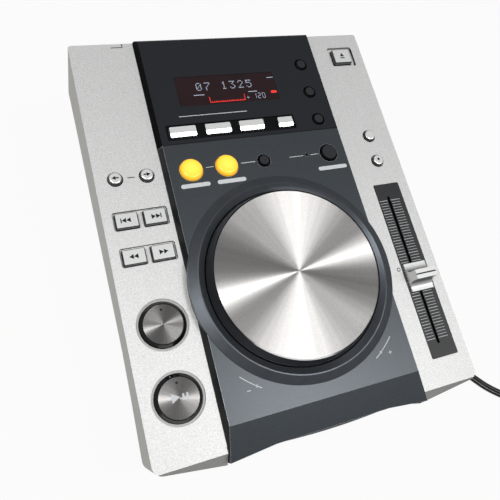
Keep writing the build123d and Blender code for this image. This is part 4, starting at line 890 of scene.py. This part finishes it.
# symbols on the keys: name, body, height, arrowheads (across, along, size, heading) and bars
# (across, along, width, length)
signs = {
    "folderBackSign": (
        "folder_back_key", 2.4, [(-94.2, 168.5, 1.55, 180)], [(-92.6, 168.5, 2.2, 0.8)]
    ),
    "folderForwardSign": (
        "folder_forward_key", 2.4, [(-73.9, 168.5, 1.55, 0)], [(-75.5, 168.5, 2.2, 0.8)]
    ),
    "track_back_sign": (
        "track_back_key", 1.2,
        [(-90.5, 141.3, 1.75, 180), (-93.2, 141.3, 1.75, 180)], [(-95.3, 141.3, 0.65, 2.9)],
    ),
    "track_forward_sign": (
        "track_forward_key", 1.2,
        [(-76.4, 141.3, 1.75, 0), (-73.7, 141.3, 1.75, 0)], [(-71.6, 141.3, 0.65, 2.9)],
    ),
    "search_back_sign": (
        "search_back_key", 1.2, [(-90.5, 118.6, 1.75, 180), (-93.2, 118.6, 1.75, 180)], []
    ),
    "search_forward_sign": (
        "search_forward_key", 1.2, [(-76.4, 118.6, 1.75, 0), (-73.7, 118.6, 1.75, 0)], []
    ),
    "ejectSign": ("eject_key", 1.2, [(88.1, 246.3, 2.0, 90)], [(88.1, 244.0, 3.5, 0.8)]),
}
for name, (body, height, heads, bars) in signs.items():
    sign = bmesh.new()
    for head in heads:
        addArrow(sign, *head)
    for bar in bars:
        addBar(sign, *bar)
    printMarks(name, sign, height, blackInk, body)
lock = {"dot": (87.8, 158.6, 0.95), "top": 2.2}
lockDot = bmesh.new()
addDot(lockDot, *lock["dot"])
printMarks("lockDot", lockDot, lock["top"], blackInk, "tempo_lock_key")

# spun discs in the two large caps
for name, (across, along) in caps.items():
    disc = bmesh.new()
    bmesh.ops.create_cone(
        disc, cap_ends=True, segments=72, radius1=cap["radius"], radius2=cap["radius"],
        depth=cap["thickness"], matrix=Matrix.Translation((across, along, -cap["thickness"] / 2)),
    )
    rim = [e for e in disc.edges if all(v.co.z > -0.01 for v in e.verts)]
    bmesh.ops.bevel(
        disc, geom=rim, offset=cap["edge"], offset_type="OFFSET", segments=2, profile=0.5,
        affect="EDGES", material=-1,
    )
    short = name.split("_")[0]
    place = atHeight(cap["top"])
    makePiece(short + "Disc", disc, place, capAluminium[name], short + "_key", angle=30)
    led = bmesh.new()
    addDot(led, across + cap["ledAcross"], along + cap["ledUp"], cap["ledRadius"])
    printMarks(short + "Lamp", led, cap["top"], blackInk, short + "_key")
play = {"head": (-86.9, 35.6, 3.1, 0), "bars": (-81.9, -79.6), "along": 35.2, "bar": (1.1, 3.6)}
playSign = bmesh.new()
addArrow(playSign, *play["head"])
for across in play["bars"]:
    addBar(playSign, across, play["along"], *play["bar"])
printMarks("playSign", playSign, cap["top"], whiteInk, "play_key")

# print on the fascia
fascia = {
    "top": 5.3,
    "joinAlong": 166.7,
    "joins": ((-38.0, -33.1), (-14.6, -4.9), (19.7, 29.8), (35.2, 41.0)),
    "stroke": 0.42,
    "pillAlong": 155.7,
    "pills": ((-56.4, -37.7), (-33.0, -14.0), (38.0, 59.4)),
    "pillHeight": 2.8,
    # round the jog wheel: radius, start, end, place and heading of the arrowhead
    "arcs": ((71.2, -134.3, -122.8, -125.5, 145), (71.0, -59.2, -45.3, -55, 35)),
    "arcStroke": 0.5,
    "headSize": 1.2,
    # (across, along, width, length)
    "keyLine": (-23.7, 203.9, 46.6, 0.45),
    "signs": ((46.8, 28.9, 2.2, 0.45), (46.8, 28.9, 0.45, 2.2), (-46.4, 28.9, 2.2, 0.45)),
    "joint": (0, 184.8, 123.0, 0.8),
}
lines = bmesh.new()
for start, end in fascia["joins"]:
    addBar(lines, (start + end) / 2, fascia["joinAlong"], end - start, fascia["stroke"])
for start, end in fascia["pills"]:
    addPill(lines, (start + end) / 2, fascia["pillAlong"], end - start, fascia["pillHeight"])
addBar(lines, *fascia["keyLine"])
for radius, start, end, headAt, heading in fascia["arcs"]:
    addArc(lines, (0, jog["along"]), radius, start, end, fascia["arcStroke"])
    headAcross = radius * cos(radians(headAt))
    headAlong = jog["along"] + radius * sin(radians(headAt))
    addArrow(lines, headAcross, headAlong, fascia["headSize"], heading)
for bar in fascia["signs"]:
    addBar(lines, *bar)
printMarks("fasciaPrint", lines, fascia["top"], whiteInk)
# The shadow line where the fascia meets the display panel
joint = bmesh.new()
addBar(joint, *fascia["joint"])
printMarks("fasciaJoint", joint, fascia["top"], blackInk)

# print on the deck: the join of the folder keys and the corner sign of the power switch
deckLines = ((-84.05, 168.6, 4.4, 0.5), (-75.2, 262.0, 7.6, 0.5), (-71.6, 263.4, 0.5, 2.6))
deckPrint = bmesh.new()
for bar in deckLines:
    addBar(deckPrint, *bar)
printMarks("deckPrint", deckPrint, 0, blackInk)

# lit display: digits of five by seven cells
digitRows = {
    "0": "01110 10001 10011 10101 11001 10001 01110",
    "1": "00100 01100 00100 00100 00100 00100 01110",
    "2": "01110 10001 00001 00010 00100 01000 11111",
    "3": "11111 00010 00100 00010 00001 10001 01110",
    "5": "11111 10000 11110 00001 00001 10001 01110",
    "7": "11111 00001 00010 00100 01000 01000 01000",
}
display = {
    "digits": "07 1325",
    "start": -29.0,
    "end": 6.3,
    "middle": 224.9,
    "columnPitch": 0.78,
    "rowPitch": 0.86,
    "cell": (0.58, 0.64),
    "top": 5.15,
    # small seven-bar digits: where each stands, and which of its bars are lit
    "small": ((8.4, "bc"), (11.6, "abged"), (14.8, "abcdef")),
    "smallAlong": 215.0,
    # (across, along, width, length)
    "bars": (
        (3.3, 214.3, 1.9, 0.35), (3.3, 214.3, 0.35, 1.9),
        (-30.0, 218.7, 7.2, 0.55), (7.6, 218.6, 6.4, 0.55), (22.9, 228.6, 4.6, 0.55),
    ),
    "bracket": (
        (-11.4, 212.6, 24.4, 0.45), (-23.6, 214.6, 0.45, 4.2), (0.9, 214.9, 0.45, 4.6)
    ),
    "ticks": {"count": 18, "first": -22.2, "pitch": 1.3, "along": 213.2, "size": (0.45, 0.5)},
    "pill": (22.9, 217.2, 4.5, 2.1),
}
smallBars = {
    "a": (0, 1.9, 1.5, 0.35), "b": (0.9, 0.95, 0.35, 1.5), "c": (0.9, -0.95, 0.35, 1.5),
    "d": (0, -1.9, 1.5, 0.35), "e": (-0.9, -0.95, 0.35, 1.5), "f": (-0.9, 0.95, 0.35, 1.5),
    "g": (0, 0, 1.5, 0.35),
}
digits = bmesh.new()
digitPitch = (display["end"] - display["start"]) / (len(display["digits"]) - 1)
for i, digit in enumerate(display["digits"]):
    if digit not in digitRows:
        continue
    for row, cells in enumerate(digitRows[digit].split()):
        for column, lit in enumerate(cells):
            if lit == "1":
                across = display["start"] + i * digitPitch + (column - 2) * display["columnPitch"]
                along = display["middle"] + (3 - row) * display["rowPitch"]
                addBar(digits, across, along, *display["cell"])
for across, bars in display["small"]:
    for bar in bars:
        x, y, width, length = smallBars[bar]
        addBar(digits, across + x, display["smallAlong"] + y, width, length)
for bar in display["bars"]:
    addBar(digits, *bar)
printMarks("displayDigits", digits, display["top"], paleSegment)
bracket = bmesh.new()
for bar in display["bracket"]:
    addBar(bracket, *bar)
ticks = display["ticks"]
for i in range(ticks["count"]):
    addBar(bracket, ticks["first"] + i * ticks["pitch"], ticks["along"], *ticks["size"])
addPill(bracket, *display["pill"])
printMarks("displayBracket", bracket, display["top"], redSegment)
print("print and display made")

# marks of use on the jog plate, near its edge: (across, along, width, length, turn)
scuffs = (
    (30.4, 52.4, 0.3, 6.4, 52), (29.6, 48.6, 0.3, 3.0, 25),
    (28.6, 47.4, 0.3, 2.2, 25), (29.0, 45.6, 0.3, 2.4, 25),
)
dashes = bmesh.new()
for scuff in scuffs:
    addBar(dashes, *scuff)
printMarks("plateDashes", dashes, jog["plateTop"], greyInk, "jog_wheel")

# floor, lamps and surroundings
studio = {
    "floor": "#b9b9b6",
    "floorHalf": 4,
    "floorGlow": 0.93,
    "surround": "#f2f3f5",
    "surroundLight": 0.24,
    "target": (0, -0.04, 0.06),
}
floorShape = bmesh.new()
bmesh.ops.create_grid(floorShape, x_segments=1, y_segments=1, size=studio["floorHalf"])
floorMesh = bpy.data.meshes.new("floor")
floorShape.to_mesh(floorMesh)
floorShape.free()
floor = bpy.data.objects.new("floor", floorMesh)
scene.collection.objects.link(floor)
# Pale studio floor: it keeps a faint shadow, and looks white to the lens and in reflections
floorPaper = bpy.data.materials.new("floorPaper")
floorPaper.use_nodes = True
tree = floorPaper.node_tree
tree.nodes.clear()
rays = addNode(tree, "LightPath")
seen = addNode(
    tree, "Math", {"operation": "MAXIMUM"},
    {0: rays.outputs["Is Camera Ray"], 1: rays.outputs["Is Glossy Ray"]},
)
seen = addNode(
    tree, "Math", {"operation": "MAXIMUM"},
    {0: seen.outputs["Value"], 1: rays.outputs["Is Transmission Ray"]},
)
share = addNode(
    tree, "Math", {"operation": "MULTIPLY", 1: studio["floorGlow"]}, {0: seen.outputs["Value"]}
)
paper = addNode(tree, "BsdfDiffuse", {"Color": linear(studio["floor"])})
glow = addNode(tree, "Emission", {"Strength": 1.0})
mix = addNode(
    tree, "MixShader", None,
    {0: share.outputs["Value"], 1: paper.outputs["BSDF"], 2: glow.outputs["Emission"]},
)
addNode(tree, "OutputMaterial", links={"Surface": mix.outputs["Shader"]})
floorMesh.materials.append(floorPaper)

world = bpy.data.worlds.new("studio")
scene.world = world
world.use_nodes = True
tree = world.node_tree
tree.nodes.clear()
rays = addNode(tree, "LightPath")
plain = addNode(
    tree, "Background", {"Color": linear(studio["surround"]), "Strength": studio["surroundLight"]}
)
white = addNode(tree, "Background", {"Color": (1, 1, 1, 1), "Strength": 1.0})
mix = addNode(
    tree,
    "MixShader",
    None,
    {
        0: rays.outputs["Is Camera Ray"],
        1: plain.outputs["Background"],
        2: white.outputs["Background"],
    },
)
addNode(tree, "OutputWorld", links={"Surface": mix.outputs["Shader"]})

target = Vector(studio["target"])
lamps = {
    # name: (direction from the player, distance, width, height, power)
    "softboxRight": ((0.315, -0.297, 0.901), 2.4, 0.80, 0.80, 24.5),
    "stripLeft": ((-0.40, -0.08, 0.913), 2.4, 0.14, 0.75, 27.0),
    "fillRight": ((0.637, -0.26, 0.726), 2.4, 0.30, 0.30, 4.2),
}
for name, (towards, distance, width, height, power) in lamps.items():
    lampData = bpy.data.lights.new(name, "AREA")
    lampData.shape = "RECTANGLE"
    lampData.size = width
    lampData.size_y = height
    lampData.energy = power
    lamp = bpy.data.objects.new(name, lampData)
    lamp.location = target + Vector(towards).normalized() * distance
    lamp.rotation_euler = (target - lamp.location).to_track_quat("-Z", "Y").to_euler()
    scene.collection.objects.link(lamp)
print("studio lit")
